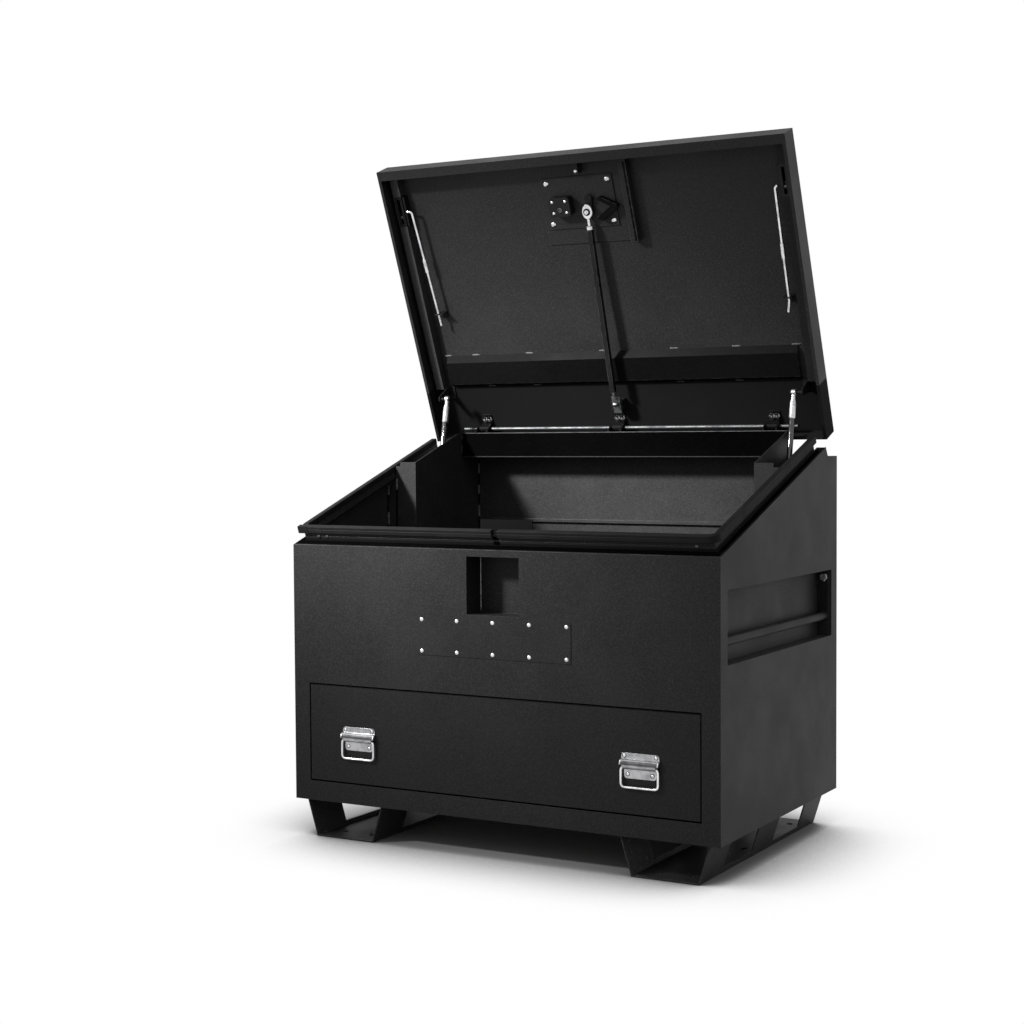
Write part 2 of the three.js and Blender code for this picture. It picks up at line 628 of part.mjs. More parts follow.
// A folded trough under the body, open at its ends and windowed on both walls for forks.
function skid(side) {
  const topHalf = SKID_TOP_WIDTH / 2;
  const baseHalf = SKID_BASE_WIDTH / 2;
  const outer = [[-topHalf, 0], [-baseHalf, -SKID_HEIGHT], [baseHalf, -SKID_HEIGHT], [topHalf, 0]];
  const inner = [[topHalf - SKID_SHEET, 0], [baseHalf - SKID_SHEET / 2, SKID_SHEET - SKID_HEIGHT],
    [SKID_SHEET / 2 - baseHalf, SKID_SHEET - SKID_HEIGHT], [SKID_SHEET - topHalf, 0]];
  const outline = [...outer, ...inner].map(([x, z]) => [side * SKID_CENTRE + x, z]);
  const trough = prism("y", outline, [SKID_SETBACK, SKID_SETBACK + SKID_LENGTH]);
  const centre = side * SKID_CENTRE;
  const windows = WINDOW_SPANS.map((shares) => block([centre - topHalf - OVERRUN, centre + topHalf + OVERRUN],
    shares.map((share) => SKID_SETBACK + share * SKID_LENGTH), [WINDOW_SILL - SKID_HEIGHT, OVERRUN]));
  const holes = [];
  const rowPitch = (SKID_LENGTH - 2 * SKID_HOLE_EDGE) / (SKID_HOLE_ROWS - 1);
  const floorSpan = [-SKID_HEIGHT - OVERRUN, OVERRUN - SKID_HEIGHT];
  for (let row = 0; row < SKID_HOLE_ROWS; row += 1) {
    const y = SKID_SETBACK + SKID_HOLE_EDGE + row * rowPitch;
    for (const x of [centre - baseHalf / 2, centre + baseHalf / 2]) {
      holes.push(bar([x, y, floorSpan[0]], [x, y, floorSpan[1]], SKID_HOLE_RADIUS, SMALL_SIDES));
    }
  }
  return cut(trough, ...windows, ...holes);
}

// Two plates that box in a rear corner round a gas strut, with the strut's lower pin.
function strutGuard(side) {
  const bottom = POCKET_BOTTOM + POCKET_HEIGHT + GUARD_ABOVE_POCKET;
  const rimEnd = REAR_RIM_AT + REAR_RIM_DEPTH;
  const underLedge = LEDGE_HEIGHT - SHEET - SEAT;
  const top = heightAt(GUARD_FRONT, GUARD_RISE);
  const sideOutline = [[GUARD_FRONT, bottom], [GUARD_FRONT, top], [rimEnd, heightAt(rimEnd, GUARD_RISE)],
    [rimEnd, underLedge], [REAR_WALL, underLedge], [REAR_WALL, bottom]];
  const inner = GUARD_FACE + SHEET;
  const sidePlate = prism("x", sideOutline, [side * GUARD_FACE, side * inner]);
  const rimReach = Math.max(NECK_INSET + NECK_SHEET, SEAL_SIDE_INSET + SEAL_WIDTH);
  const neckInner = HALF_WIDTH - rimReach - GUARD_EDGE_GAP;
  const notchTop = heightAt(GUARD_FRONT, GUARD_NOTCH_RISE);
  const gutterLow = heightAt(GUARD_FRONT, -SHEET) - SEAT;
  const frontOutline = [[GUARD_FACE, bottom], [GUARD_FACE, top], [neckInner - GUARD_NOTCH_WIDTH, top],
    [neckInner - GUARD_NOTCH_WIDTH, notchTop], [neckInner, notchTop], [neckInner, gutterLow],
    [INNER_WALL, gutterLow], [INNER_WALL, bottom]];
  const frontSpan = [GUARD_FRONT, GUARD_FRONT + SHEET];
  const frontPlate = prism("y", frontOutline.map(([x, z]) => [side * x, z]), frontSpan);
  const [y, z] = STRUT_ANCHOR;
  const half = ANCHOR_WIDTH / 2;
  const foot = block([side * (inner - SHEET / 2), side * (inner + ANCHOR_SHEET)], [y - half, y + half],
    [z - half, z + half]);
  const pinEnd = HALF_WIDTH - STRUT_INSET - STRUT_EYE_WIDTH / 2 - ANCHOR_PIN_GAP;
  const pin = bar([side * inner, y, z], [side * pinEnd, y, z], STRUT_STUD_RADIUS, SMALL_SIDES);
  return join(sidePlate, frontPlate, foot, pin);
}

// Hinges: a bracket on the rear rim, one long rod, and an ear bolted inside the lid
function hingeBracket(x) {
  const { y, z } = HINGE_AXIS;
  const back = REAR_RIM_AT + REAR_RIM_DEPTH;
  const rimTop = LEDGE_HEIGHT + REAR_RIM_RISE;
  const low = rimTop - BRACKET_BASE_DROP;
  const half = EAR_HALF + EAR_GAP + EAR_SHEET;
  const base = block([x - half, x + half], [back, back + BRACKET_BASE], [low, rimTop]);
  const arm = [[back, low], [back, rimTop + BRACKET_ARM_RISE], [y - KNUCKLE_RADIUS / 2, z + KNUCKLE_TANGENT],
    [y, z - KNUCKLE_TANGENT]];
  const ears = [-1, 1].flatMap((side) => {
    const span = [x + side * (EAR_HALF + EAR_GAP), x + side * half];
    return [prism("x", arm, span), bar([span[0], y, z], [span[1], y, z], KNUCKLE_RADIUS)];
  });
  const hole = bar([x - half - OVERRUN, y, z], [x + half + OVERRUN, y, z], HINGE_ROD_RADIUS + KNUCKLE_GAP);
  return cut(join(base, ...ears), hole);
}

function hingeRod() {
  const { y, z } = HINGE_AXIS;
  return bar([-HINGE_ROD_LENGTH / 2, y, z], [HINGE_ROD_LENGTH / 2, y, z], HINGE_ROD_RADIUS);
}

// Everything from here to the struts is drawn on the lid, as (x, t, d).
function hingeEar(x) {
  const t = HINGE_FROM_REAR;
  const d = HINGE_BELOW_SKIN;
  const span = [x - EAR_HALF, x + EAR_HALF];
  const foot = block(span, [t - KNUCKLE_RADIUS, t + FOOT_REACH], [LID_INNER, LID_INNER + FOOT_SHEET]);
  const web = block(span, [t - KNUCKLE_RADIUS, t + KNUCKLE_RADIUS], [LID_INNER + FOOT_SHEET / 2, d]);
  const knuckle = bar([span[0], t, d], [span[1], t, d], KNUCKLE_RADIUS);
  const hole = bar([span[0] - OVERRUN, t, d], [span[1] + OVERRUN, t, d], HINGE_ROD_RADIUS + KNUCKLE_GAP);
  const boltAt = t + (KNUCKLE_RADIUS + FOOT_REACH) / 2;
  const bolts = [-1, 1].map((side) => bar([x + side * EAR_HALF / 2, boltAt, LID_INNER + FOOT_SHEET / 2],
    [x + side * EAR_HALF / 2, boltAt, LID_INNER + FOOT_SHEET + FOOT_BOLT_RISE], FOOT_BOLT_RADIUS, HEX_SIDES));
  return cut(join(foot, web, knuckle, ...bolts), hole);
}

function lidPan() {
  const shell = block([-HALF_WIDTH, HALF_WIDTH], [0, LID_LENGTH], [0, LID_DEPTH]);
  const hemInner = HALF_WIDTH - LID_HEM;
  const hollow = block([-INNER_WALL, INNER_WALL], [SHEET, LID_LENGTH - SHEET], [SHEET, LID_DEPTH - SHEET]);
  const mouth = block([-hemInner, hemInner], [SHEET, LID_LENGTH - LID_LIP], [SHEET, LID_DEPTH + OVERRUN]);
  const [x, t] = SPINDLE_AT;
  const hole = bar([x, t, -OVERRUN], [x, t, OVERRUN], SPINDLE_RADIUS + SPINDLE_GAP);
  return cut(shell, hollow, mouth, hole);
}

// The folded channel over each side seal, cut away round the latch but for its outer leg.
function lidChannel(side) {
  const outer = HALF_WIDTH - CHANNEL_INSET;
  const inner = outer - CHANNEL_WIDTH;
  const span = [CHANNEL_START, fromFront(CHANNEL_FROM_FRONT)];
  const web = block([side * inner, side * outer], span, [CHANNEL_DEPTH - SHEET, CHANNEL_DEPTH]);
  const legs = [[inner, inner + SHEET], [outer - SHEET, outer]].map(([a, b]) =>
    block([side * a, side * b], span, [LID_INNER, CHANNEL_DEPTH - SHEET / 2]));
  const gap = block([side * (inner - OVERRUN), side * (outer - SHEET)], LATCH_SPAN,
    [LID_INNER - OVERRUN, CHANNEL_DEPTH + OVERRUN]);
  return cut(join(web, ...legs), gap);
}

function crossMember() {
  const end = HALF_WIDTH - HAT_INSET;
  const rear = HAT_PLACE * LID_LENGTH;
  const front = rear + HAT_WIDTH;
  const [topRear, topFront] = [rear + HAT_FLANKS[0], front - HAT_FLANKS[1]];
  const outline = [[rear, LID_INNER], [topRear, HAT_DEPTH], [topFront, HAT_DEPTH], [front, LID_INNER],
    [front - 2 * SHEET, LID_INNER], [topFront - SHEET, HAT_DEPTH - SHEET],
    [topRear + SHEET, HAT_DEPTH - SHEET], [rear + SHEET, LID_INNER]];
  return prism("x", outline, [-end, end]);
}

const BACKING_X = [BACKING_OFFSET - BACKING_WIDTH / 2, BACKING_OFFSET + BACKING_WIDTH / 2];
const BACKING_FACE = LID_INNER + BACKING_SHEET;
const LOCK_FACE = BACKING_FACE + SEAT + LOCK_PLATE_SHEET;
const spindleHole = () => bar([...SPINDLE_AT, -OVERRUN], [...SPINDLE_AT, LOCK_FACE + OVERRUN],
  SPINDLE_RADIUS + SPINDLE_GAP);

function backingPlate() {
  return cut(block(BACKING_X, BACKING_FROM_FRONT.map(fromFront), [LID_INNER, BACKING_FACE]), spindleHole());
}

// The folded guide beside the backing plate, open towards the skin.
function lockGuide() {
  const left = BACKING_X[1] + SEAT;
  const right = left + GUIDE_WIDTH;
  const [rear, front] = GUIDE_FROM_FRONT.map(fromFront);
  const outside = block([left, right], [rear, front], [LID_INNER, GUIDE_DEPTH]);
  const inside = block([left + SHEET, right - SHEET], [rear - OVERRUN, front + OVERRUN],
    [LID_INNER - OVERRUN, GUIDE_DEPTH - SHEET]);
  return cut(outside, inside);
}

// Where the corners of a rectangle drawn in by one edge distance lie.
function cornersOf([left, right], [rear, front], edge) {
  return [left + edge, right - edge].flatMap((x) => [rear + edge, front - edge].map((t) => [x, t]));
}

function lockPlate() {
  const plate = block(LOCK_PLATE_X, LOCK_PLATE_SPAN, [BACKING_FACE + SEAT, LOCK_FACE]);
  const screws = cornersOf(LOCK_PLATE_X, LOCK_PLATE_SPAN, LOCK_SCREW_EDGE).map(([x, t]) =>
    bar([x, t, LOCK_FACE - LOCK_PLATE_SHEET / 2], [x, t, LOCK_FACE + LOCK_SCREW_RISE],
      LOCK_SCREW_RADIUS, SMALL_SIDES));
  return cut(join(plate, ...screws), spindleHole());
}

function lockBody() {
  const base = LOCK_FACE + SEAT;
  const top = base + LOCK_BODY_HEIGHT;
  const outline = roundedRectangle(LOCK_BODY_X, LOCK_BODY_SPAN, LOCK_BODY_CORNER);
  const dots = cornersOf(LOCK_BODY_X, LOCK_BODY_SPAN, LOCK_DOT_EDGE).map(([x, t]) =>
    bar([x, t, top - LOCK_DOT_RISE], [x, t, top + LOCK_DOT_RISE], LOCK_DOT_RADIUS, SMALL_SIDES));
  return join(prism("z", outline, [base, top]), ...dots);
}

// A small plate that stops the crank, with one edge turned up.
function leverStop() {
  const base = LOCK_FACE + SEAT;
  const outline = STOP_OUTLINE.map(([x, reach]) => [x, fromFront(reach)]);
  const plate = prism("z", outline, [base, base + SHEET]);
  const [, [fromX, fromT], [toX, toT]] = outline;
  const run = Math.hypot(toX - fromX, toT - fromT);
  const inward = [((toT - fromT) * SHEET) / run, ((fromX - toX) * SHEET) / run];
  const strip = [[fromX, fromT], [toX, toT], [toX + inward[0], toT + inward[1]],
    [fromX + inward[0], fromT + inward[1]]];
  return join(plate, prism("z", strip, [base, base + STOP_FLANGE]));
}

// The handle's lever outside the lid, its spindle, and the crank and pin inside.
const CRANK_BASE = LOCK_FACE + CRANK_LIFT;
const EYE_BASE = CRANK_BASE + CRANK_SHEET + ROD_PIN_GAP;

function lockHandle() {
  const [x, t] = SPINDLE_AT;
  const [pinX, pinT] = ROD_PIN_AT;
  const angle = THREE.MathUtils.radToDeg(Math.atan2(pinT - t, pinX - x));
  const half = CRANK_WIDTH / 2;
  const crankOutline = [...arc([x, t], half, angle + 90, angle + 270),
    ...arc([pinX, pinT], half, angle - 90, angle + 90)];
  const crank = prism("z", crankOutline, [CRANK_BASE, CRANK_BASE + CRANK_SHEET]);
  const eyeTop = EYE_BASE + ROD_EYE_WIDTH + ROD_PIN_GAP;
  const pin = bar([pinX, pinT, CRANK_BASE], [pinX, pinT, eyeTop], ROD_PIN_RADIUS);
  const head = bar([pinX, pinT, eyeTop], [pinX, pinT, eyeTop + ROD_PIN_HEAD], ROD_PIN_HEAD_RADIUS, HEX_SIDES);
  const spindle = bar([x, t, -SEAT - LEVER_BOSS_RISE], [x, t, EYE_BASE], SPINDLE_RADIUS);
  const nut = bar([x, t, EYE_BASE - SEAT], [x, t, EYE_BASE + SPINDLE_NUT], SPINDLE_NUT_RADIUS, HEX_SIDES);
  const boss = bar([x, t, -SEAT], [x, t, -SEAT - LEVER_BOSS_RISE], LEVER_BOSS_RADIUS);
  const lever = block([x - LEVER_WIDTH / 2, x + LEVER_WIDTH / 2], [t, t - LEVER_LENGTH],
    [-SEAT - LEVER_BOSS_RISE, -SEAT - LEVER_BOSS_RISE - LEVER_HEIGHT]);
  const neck = bar([x, t, -SEAT], [x, t, -SEAT - LEVER_BOSS_RISE - LEVER_HEIGHT], LEVER_WIDTH / 2);
  return join(crank, pin, head, spindle, nut, boss, lever, neck);
}

// The square rod from the crank's pin to the rear bolt, with an eye, a lock nut and a ball end.
function pushRod() {
  const [pinX, pinT] = ROD_PIN_AT;
  const depth = EYE_BASE + ROD_EYE_WIDTH / 2;
  const start = new THREE.Vector3(pinX, pinT, depth);
  const end = new THREE.Vector3(...PUSH_ROD_END_AT, PUSH_ROD_END_DEPTH);
  const at = (t) => start.clone().lerp(end, (pinT - t) / (pinT - end.y)).toArray();
  const eye = bar([pinX, pinT, EYE_BASE], [pinX, pinT, EYE_BASE + ROD_EYE_WIDTH], ROD_EYE_RADIUS);
  const hole = bar([pinX, pinT, EYE_BASE - OVERRUN], [pinX, pinT, EYE_BASE + ROD_EYE_WIDTH + OVERRUN],
    ROD_PIN_RADIUS + ROD_PIN_GAP);
  const studTop = at(pinT - (ROD_PIN_RADIUS + ROD_EYE_RADIUS) / 2);
  const stud = bar(studTop, end.toArray(), PUSH_ROD_STUD_RADIUS, SMALL_SIDES);
  const tubeTop = fromFront(PUSH_ROD_TUBE_FROM_FRONT);
  const nut = bar(at(tubeTop), at(tubeTop + PUSH_ROD_NUT), PUSH_ROD_NUT_RADIUS, HEX_SIDES);
  const tube = squareBar(at(PUSH_ROD_TUBE_END), at(tubeTop), PUSH_ROD_TUBE);
  const ball = new THREE.SphereGeometry(PUSH_ROD_END_RADIUS, SMALL_SIDES, SMALL_SIDES / 2);
  ball.translate(...end.toArray());
  return join(cut(eye, hole), stud, nut, tube, ball);
}

const REAR_BOLT_TOP = PUSH_ROD_END_DEPTH - PUSH_ROD_END_RADIUS - SEAT;
const REAR_BOLT_X = [PUSH_ROD_END_AT[0] - REAR_BOLT_WIDTH / 2, PUSH_ROD_END_AT[0] + REAR_BOLT_WIDTH / 2];

function rearBolt() {
  return block(REAR_BOLT_X, REAR_BOLT_SPAN, [REAR_BOLT_TOP - REAR_BOLT_HEIGHT, REAR_BOLT_TOP]);
}

// The block that carries the rear bolt between two cheeks.
function boltGuide() {
  const left = REAR_BOLT_X[0] - SEAT;
  const right = REAR_BOLT_X[1] + SEAT;
  const whole = block([left - BOLT_GUIDE_CHEEK, right + BOLT_GUIDE_CHEEK], BOLT_GUIDE_SPAN,
    [LID_INNER, REAR_BOLT_TOP - SEAT]);
  const way = block([left, right], [BOLT_GUIDE_SPAN[0] - OVERRUN, BOLT_GUIDE_SPAN[1] + OVERRUN],
    [REAR_BOLT_TOP - REAR_BOLT_HEIGHT - SEAT, REAR_BOLT_TOP + OVERRUN]);
  return cut(whole, way);
}

function striker() {
  const blade = block(STRIKER_X, STRIKER_SPAN, [BACKING_FACE + SEAT, STRIKER_DEPTH]);
  const x = (STRIKER_X[0] + STRIKER_X[1]) / 2;
  const t = STRIKER_SPAN[0] + STRIKER_RIVET_INSET;
  const rivet = bar([x, t, STRIKER_DEPTH - STRIKER_RIVET_RISE], [x, t, STRIKER_DEPTH + STRIKER_RIVET_RISE],
    STRIKER_RIVET_RADIUS, SMALL_SIDES);
  return join(blade, rivet);
}

// Latches: a slotted body in the gap of each channel, with a claw on a pin across it
const LATCH_OUTER = HALF_WIDTH - CHANNEL_INSET - SHEET - SEAT;
const LATCH_MIDDLE = LATCH_OUTER - LATCH_WIDTH / 2;
const CLAW_DEPTH = LID_INNER + (LATCH_DEPTH - LID_INNER) / 2;

function latchBody(side) {
  const body = block([side * LATCH_OUTER, side * (LATCH_OUTER - LATCH_WIDTH)],
    [LATCH_SPAN[0] + SEAT, LATCH_SPAN[1] - SEAT], [LID_INNER, LATCH_DEPTH]);
  const slot = block([side * (LATCH_MIDDLE - LATCH_SLOT / 2), side * (LATCH_MIDDLE + LATCH_SLOT / 2)],
    [LATCH_SPAN[0] + LATCH_END, LATCH_SPAN[1] - LATCH_END], [LID_INNER + SHEET / 2, LATCH_DEPTH + OVERRUN]);
  const pinHole = bar([side * (LATCH_MIDDLE - LATCH_WIDTH), CLAW_AT, CLAW_DEPTH],
    [side * (LATCH_MIDDLE + LATCH_WIDTH), CLAW_AT, CLAW_DEPTH], CLAW_PIN_RADIUS + SEAT, SMALL_SIDES);
  return cut(body, slot, pinHole);
}

function latchClaw(side) {
  const half = LATCH_SLOT / 2 - CLAW_GAP;
  const across = (reach, t, radius, sides) => bar([side * (LATCH_MIDDLE - reach), t, CLAW_DEPTH],
    [side * (LATCH_MIDDLE + reach), t, CLAW_DEPTH], radius, sides);
  const disc = across(half, CLAW_AT, CLAW_RADIUS, ROUND_SIDES);
  const mouth = block([side * (LATCH_MIDDLE - LATCH_SLOT), side * (LATCH_MIDDLE + LATCH_SLOT)],
    [CLAW_AT + CLAW_PIN_RADIUS + SEAT, CLAW_AT + CLAW_PIN_RADIUS + CLAW_MOUTH],
    [CLAW_DEPTH, LATCH_DEPTH + OVERRUN]);
  const pin = across(LATCH_WIDTH / 2 - SEAT, CLAW_AT, CLAW_PIN_RADIUS, SMALL_SIDES);
  return join(cut(disc, mouth), pin);
}

// The cranked rod beside each latch, with a thicker sleeve part way along.
function rodPoint(name, side, t) {
  const [, upper, lower] = ROD_CORNERS[name];
  const share = (fromFront(t) - upper[1]) / (lower[1] - upper[1]);
  return [side * (HALF_WIDTH - upper[0] - share * (lower[0] - upper[0])), t, ROD_DEPTH];
}

function triggerRod(name, side) {
  const corners = ROD_CORNERS[name].map(([inset, reach]) =>
    [side * (HALF_WIDTH - inset), fromFront(reach), ROD_DEPTH]);
  const runs = corners.slice(1).map((corner, i) => bar(corners[i], corner, ROD_RADIUS, SMALL_SIDES));
  const bends = corners.slice(1, -1).map((corner) =>
    new THREE.SphereGeometry(ROD_RADIUS, SMALL_SIDES, SMALL_SIDES / 2).translate(...corner));
  const sleeveEnds = ROD_SLEEVES[name].map((reach) => rodPoint(name, side, fromFront(reach)));
  const sleeve = bar(...sleeveEnds, ROD_SLEEVE_RADIUS, SMALL_SIDES);
  return join(...runs, ...bends, sleeve);
}

function rodBracket(name, side) {
  const [rodX] = rodPoint(name, side, ROD_BRACKET_AT);
  const outer = Math.abs(rodX) + ROD_BRACKET_WIDTH / 2 - ROD_RADIUS;
  const inner = Math.abs(rodX) - ROD_BRACKET_WIDTH / 2 - ROD_RADIUS;
  const span = [ROD_BRACKET_AT - ROD_BRACKET_SHEET / 2, ROD_BRACKET_AT + ROD_BRACKET_SHEET / 2];
  const plate = block([side * inner, side * outer], span, [LID_INNER, ROD_DEPTH + 2 * ROD_RADIUS]);
  const foot = block([side * inner, side * outer], [span[0] - ROD_BRACKET_FOOT, span[1]],
    [LID_INNER, LID_INNER + ROD_BRACKET_SHEET]);
  const reach = ROD_BRACKET_SHEET + OVERRUN;
  const hole = bar(rodPoint(name, side, ROD_BRACKET_AT - reach), rodPoint(name, side, ROD_BRACKET_AT + reach),
    ROD_RADIUS + ROD_GAP, SMALL_SIDES);
  return cut(join(plate, foot), hole);
}

// Struts: a plate and stud on the lid, a cylinder on the stud, and a rod that slides in it
const STRUT_X = HALF_WIDTH - STRUT_INSET;

function strutBracket(side) {
  const plateX = HALF_WIDTH - STRUT_PLATE_INSET;
  const t = STRUT_STUD_FROM_REAR;
  const d = STRUT_STUD_DEPTH;
  const half = STRUT_PLATE_WIDTH / 2;
  const outline = [[t - half, LID_INNER], [t + half, LID_INNER], [t + STRUT_EYE_RADIUS, d],
    ...arc([t, d], STRUT_EYE_RADIUS, 0, 180), [t - STRUT_EYE_RADIUS, d]];
  const plate = prism("x", outline, [side * plateX, side * (plateX - STRUT_PLATE)]);
  const foot = block([side * plateX, side * (plateX - STRUT_PLATE_WIDTH / 2)], [t - half, t + half],
    [LID_INNER, LID_INNER + STRUT_PLATE]);
  const eyeInner = STRUT_X - STRUT_EYE_WIDTH / 2 - STRUT_STUD_GAP;
  const stud = bar([side * (plateX - STRUT_PLATE / 2), t, d], [side * eyeInner, t, d], STRUT_STUD_RADIUS);
  const head = bar([side * eyeInner, t, d], [side * (eyeInner - STRUT_HEAD), t, d],
    STRUT_HEAD_RADIUS, SMALL_SIDES);
  return join(plate, foot, stud, head);
}

const STUD_POINT = new THREE.Vector3(0, STRUT_STUD_FROM_REAR, STRUT_STUD_DEPTH).applyMatrix4(LID);
const ANCHOR_POINT = new THREE.Vector3(0, ...STRUT_ANCHOR);
const STRUT_LENGTH = STUD_POINT.distanceTo(ANCHOR_POINT);

// A point on a strut's line, some way down from its stud.
function strutPoint(side, distance) {
  const point = STUD_POINT.clone().lerp(ANCHOR_POINT, distance / STRUT_LENGTH);
  return [side * STRUT_X, point.y, point.z];
}

function strutEye(side, distance) {
  const [x, y, z] = strutPoint(side, distance);
  const half = STRUT_EYE_WIDTH / 2;
  return bar([x - half, y, z], [x + half, y, z], STRUT_EYE_RADIUS);
}

function strutEyeHole(side, distance) {
  const [x, y, z] = strutPoint(side, distance);
  return bar([x - STRUT_EYE_WIDTH, y, z], [x + STRUT_EYE_WIDTH, y, z], STRUT_STUD_RADIUS + STRUT_STUD_GAP);
}

function strutCylinder(side) {
  const down = (from, to, radius) => bar(strutPoint(side, from), strutPoint(side, to), radius, TUBE_SIDES);
  const sleeveEnd = STRUT_EYE_RADIUS + STRUT_SLEEVE_LENGTH;
  const neck = down(STRUT_STUD_RADIUS, STRUT_EYE_RADIUS + STRUT_STUD_RADIUS, STRUT_ROD_RADIUS);
  const sleeve = down(STRUT_EYE_RADIUS + STRUT_STUD_RADIUS / 2, sleeveEnd, STRUT_SLEEVE_RADIUS);
  const tube = down(sleeveEnd - STRUT_STUD_RADIUS, STRUT_TUBE_END, STRUT_TUBE_RADIUS);
  const bore = down(STRUT_BORE_START, STRUT_TUBE_END + OVERRUN, STRUT_ROD_RADIUS + STRUT_STUD_GAP);
  return cut(join(strutEye(side, 0), neck, sleeve, tube), bore, strutEyeHole(side, 0));
}

function strutRod(side) {
  const rod = bar(strutPoint(side, STRUT_ROD_START), strutPoint(side, STRUT_LENGTH - STRUT_STUD_RADIUS),
    STRUT_ROD_RADIUS, TUBE_SIDES);
  return cut(join(rod, strutEye(side, STRUT_LENGTH)), strutEyeHole(side, STRUT_LENGTH));
}

// Drawer and its runners
const DRAWER_HALF = OPENING_WIDTH / 2 - DRAWER_GROOVE;
const DRAWER_FRONT_Z = [OPENING_BOTTOM + DRAWER_GROOVE, OPENING_BOTTOM + OPENING_HEIGHT - DRAWER_GROOVE];
const RUNNER_OUTER = OPENING_WIDTH / 2 - SHEET + SEAT;
const RUNNER_INNER = RUNNER_OUTER - RUNNER_THICKNESS;
const RUNNER_Z = [RUNNER_BOTTOM, RUNNER_BOTTOM + RUNNER_HEIGHT];

function drawerRunner(side) {
  const span = [RUNNER_FRONT, RUNNER_FRONT + RUNNER_LENGTH];
  const whole = block([side * RUNNER_INNER, side * RUNNER_OUTER], span, RUNNER_Z);
  const groove = block([side * (RUNNER_INNER - OVERRUN), side * (RUNNER_OUTER - RUNNER_SHEET)],
    [span[0] - OVERRUN, span[1] + OVERRUN], [RUNNER_Z[0] + RUNNER_SHEET, RUNNER_Z[1] - RUNNER_SHEET]);
  return cut(whole, groove);
}

function drawerBox() {
  const [low, high] = DRAWER_FRONT_Z;
  const pan = block([-DRAWER_HALF, DRAWER_HALF], [0, DRAWER_RETURN], [low, high]);
  const panHollow = block([DRAWER_SHEET - DRAWER_HALF, DRAWER_HALF - DRAWER_SHEET],
    [DRAWER_SHEET, DRAWER_RETURN + OVERRUN], [low + DRAWER_SHEET, high - DRAWER_SHEET]);
  const half = RUNNER_INNER - RUNNING_GAP;
  const bottom = low + DRAWER_BASE_GAP;
  const top = high - DRAWER_SIDE_DROP;
  const tray = block([-half, half], [0, DRAWER_DEPTH], [bottom, top]);
  const trayHollow = block([DRAWER_SHEET - half, half - DRAWER_SHEET],
    [DRAWER_SHEET, DRAWER_DEPTH - DRAWER_SHEET], [bottom + DRAWER_SHEET, top + OVERRUN]);
  const rails = [-1, 1].map((side) => block(
    [side * (half - DRAWER_SHEET / 2), side * (RUNNER_OUTER - RUNNER_SHEET - RUNNING_GAP)],
    [RUNNER_FRONT, DRAWER_DEPTH],
    [RUNNER_Z[0] + RUNNER_SHEET + RUNNING_GAP, RUNNER_Z[1] - RUNNER_SHEET - RUNNING_GAP]));
  return join(cut(pan, panHollow), cut(tray, trayHollow), ...rails);
}

// A pressed plate with a rolled hood, whose barrel takes the ends of the wire bail.
function handlePlate(x) {
  const hoodHalf = HOOD_WIDTH / 2;
  const barrelHalf = BARREL_WIDTH / 2;
  const flange = prism("y", roundedRectangle([x - FLANGE_WIDTH / 2, x + FLANGE_WIDTH / 2],
    [HOOD_SPLIT, FLANGE_TOP], FLANGE_CORNER), [-HANDLE_SHEET, 0]);
  const lower = prism("y", roundedRectangle([x - LOWER_WIDTH / 2, x + LOWER_WIDTH / 2],
    [LOWER_BOTTOM, HOOD_SPLIT], FLANGE_CORNER), [-HANDLE_SHEET, 0]);
  const hoodRise = HOOD_TOP - HOOD_SPLIT;
  const hood = prism("x", [[0, HOOD_SPLIT], ...arc([0, HOOD_SPLIT], 1, 180, 90).map(([y, z]) =>
    [y * HOOD_DEPTH, HOOD_SPLIT + (z - HOOD_SPLIT) * hoodRise])], [x - hoodHalf, x + hoodHalf]);
  const barrelDrop = HOOD_SPLIT - HOOD_BOTTOM;
  const barrel = prism("x", [[0, HOOD_SPLIT], ...arc([0, HOOD_SPLIT], 1, 180, 270).map(([y, z]) =>
    [y * HOOD_DEPTH, HOOD_SPLIT + (z - HOOD_SPLIT) * barrelDrop])], [x - barrelHalf, x + barrelHalf]);
  const screwRows = [[UPPER_SCREW_X, (HOOD_TOP + FLANGE_TOP) / 2],
    [LOWER_SCREW_X, (LOWER_BOTTOM + HOOD_BOTTOM) / 2]];
  const screws = screwRows.flatMap(([offset, z]) => [-1, 1].map((side) =>
    bar([x + side * offset, -HANDLE_SHEET / 2, z], [x + side * offset, -HANDLE_SHEET - HANDLE_SCREW_RISE, z],
      HANDLE_SCREW_RADIUS, SMALL_SIDES)));
  const [pivotY, pivotZ] = BAIL_PIVOT;
  const sockets = [-1, 1].map((side) => bar([x + side * (barrelHalf + OVERRUN), -pivotY, pivotZ],
    [x + side * (barrelHalf - BAIL_GRIP - BAIL_GAP), -pivotY, pivotZ], BAIL_RADIUS + BAIL_GAP, SMALL_SIDES));
  return cut(join(flange, lower, hood, barrel, ...screws), ...sockets);
}

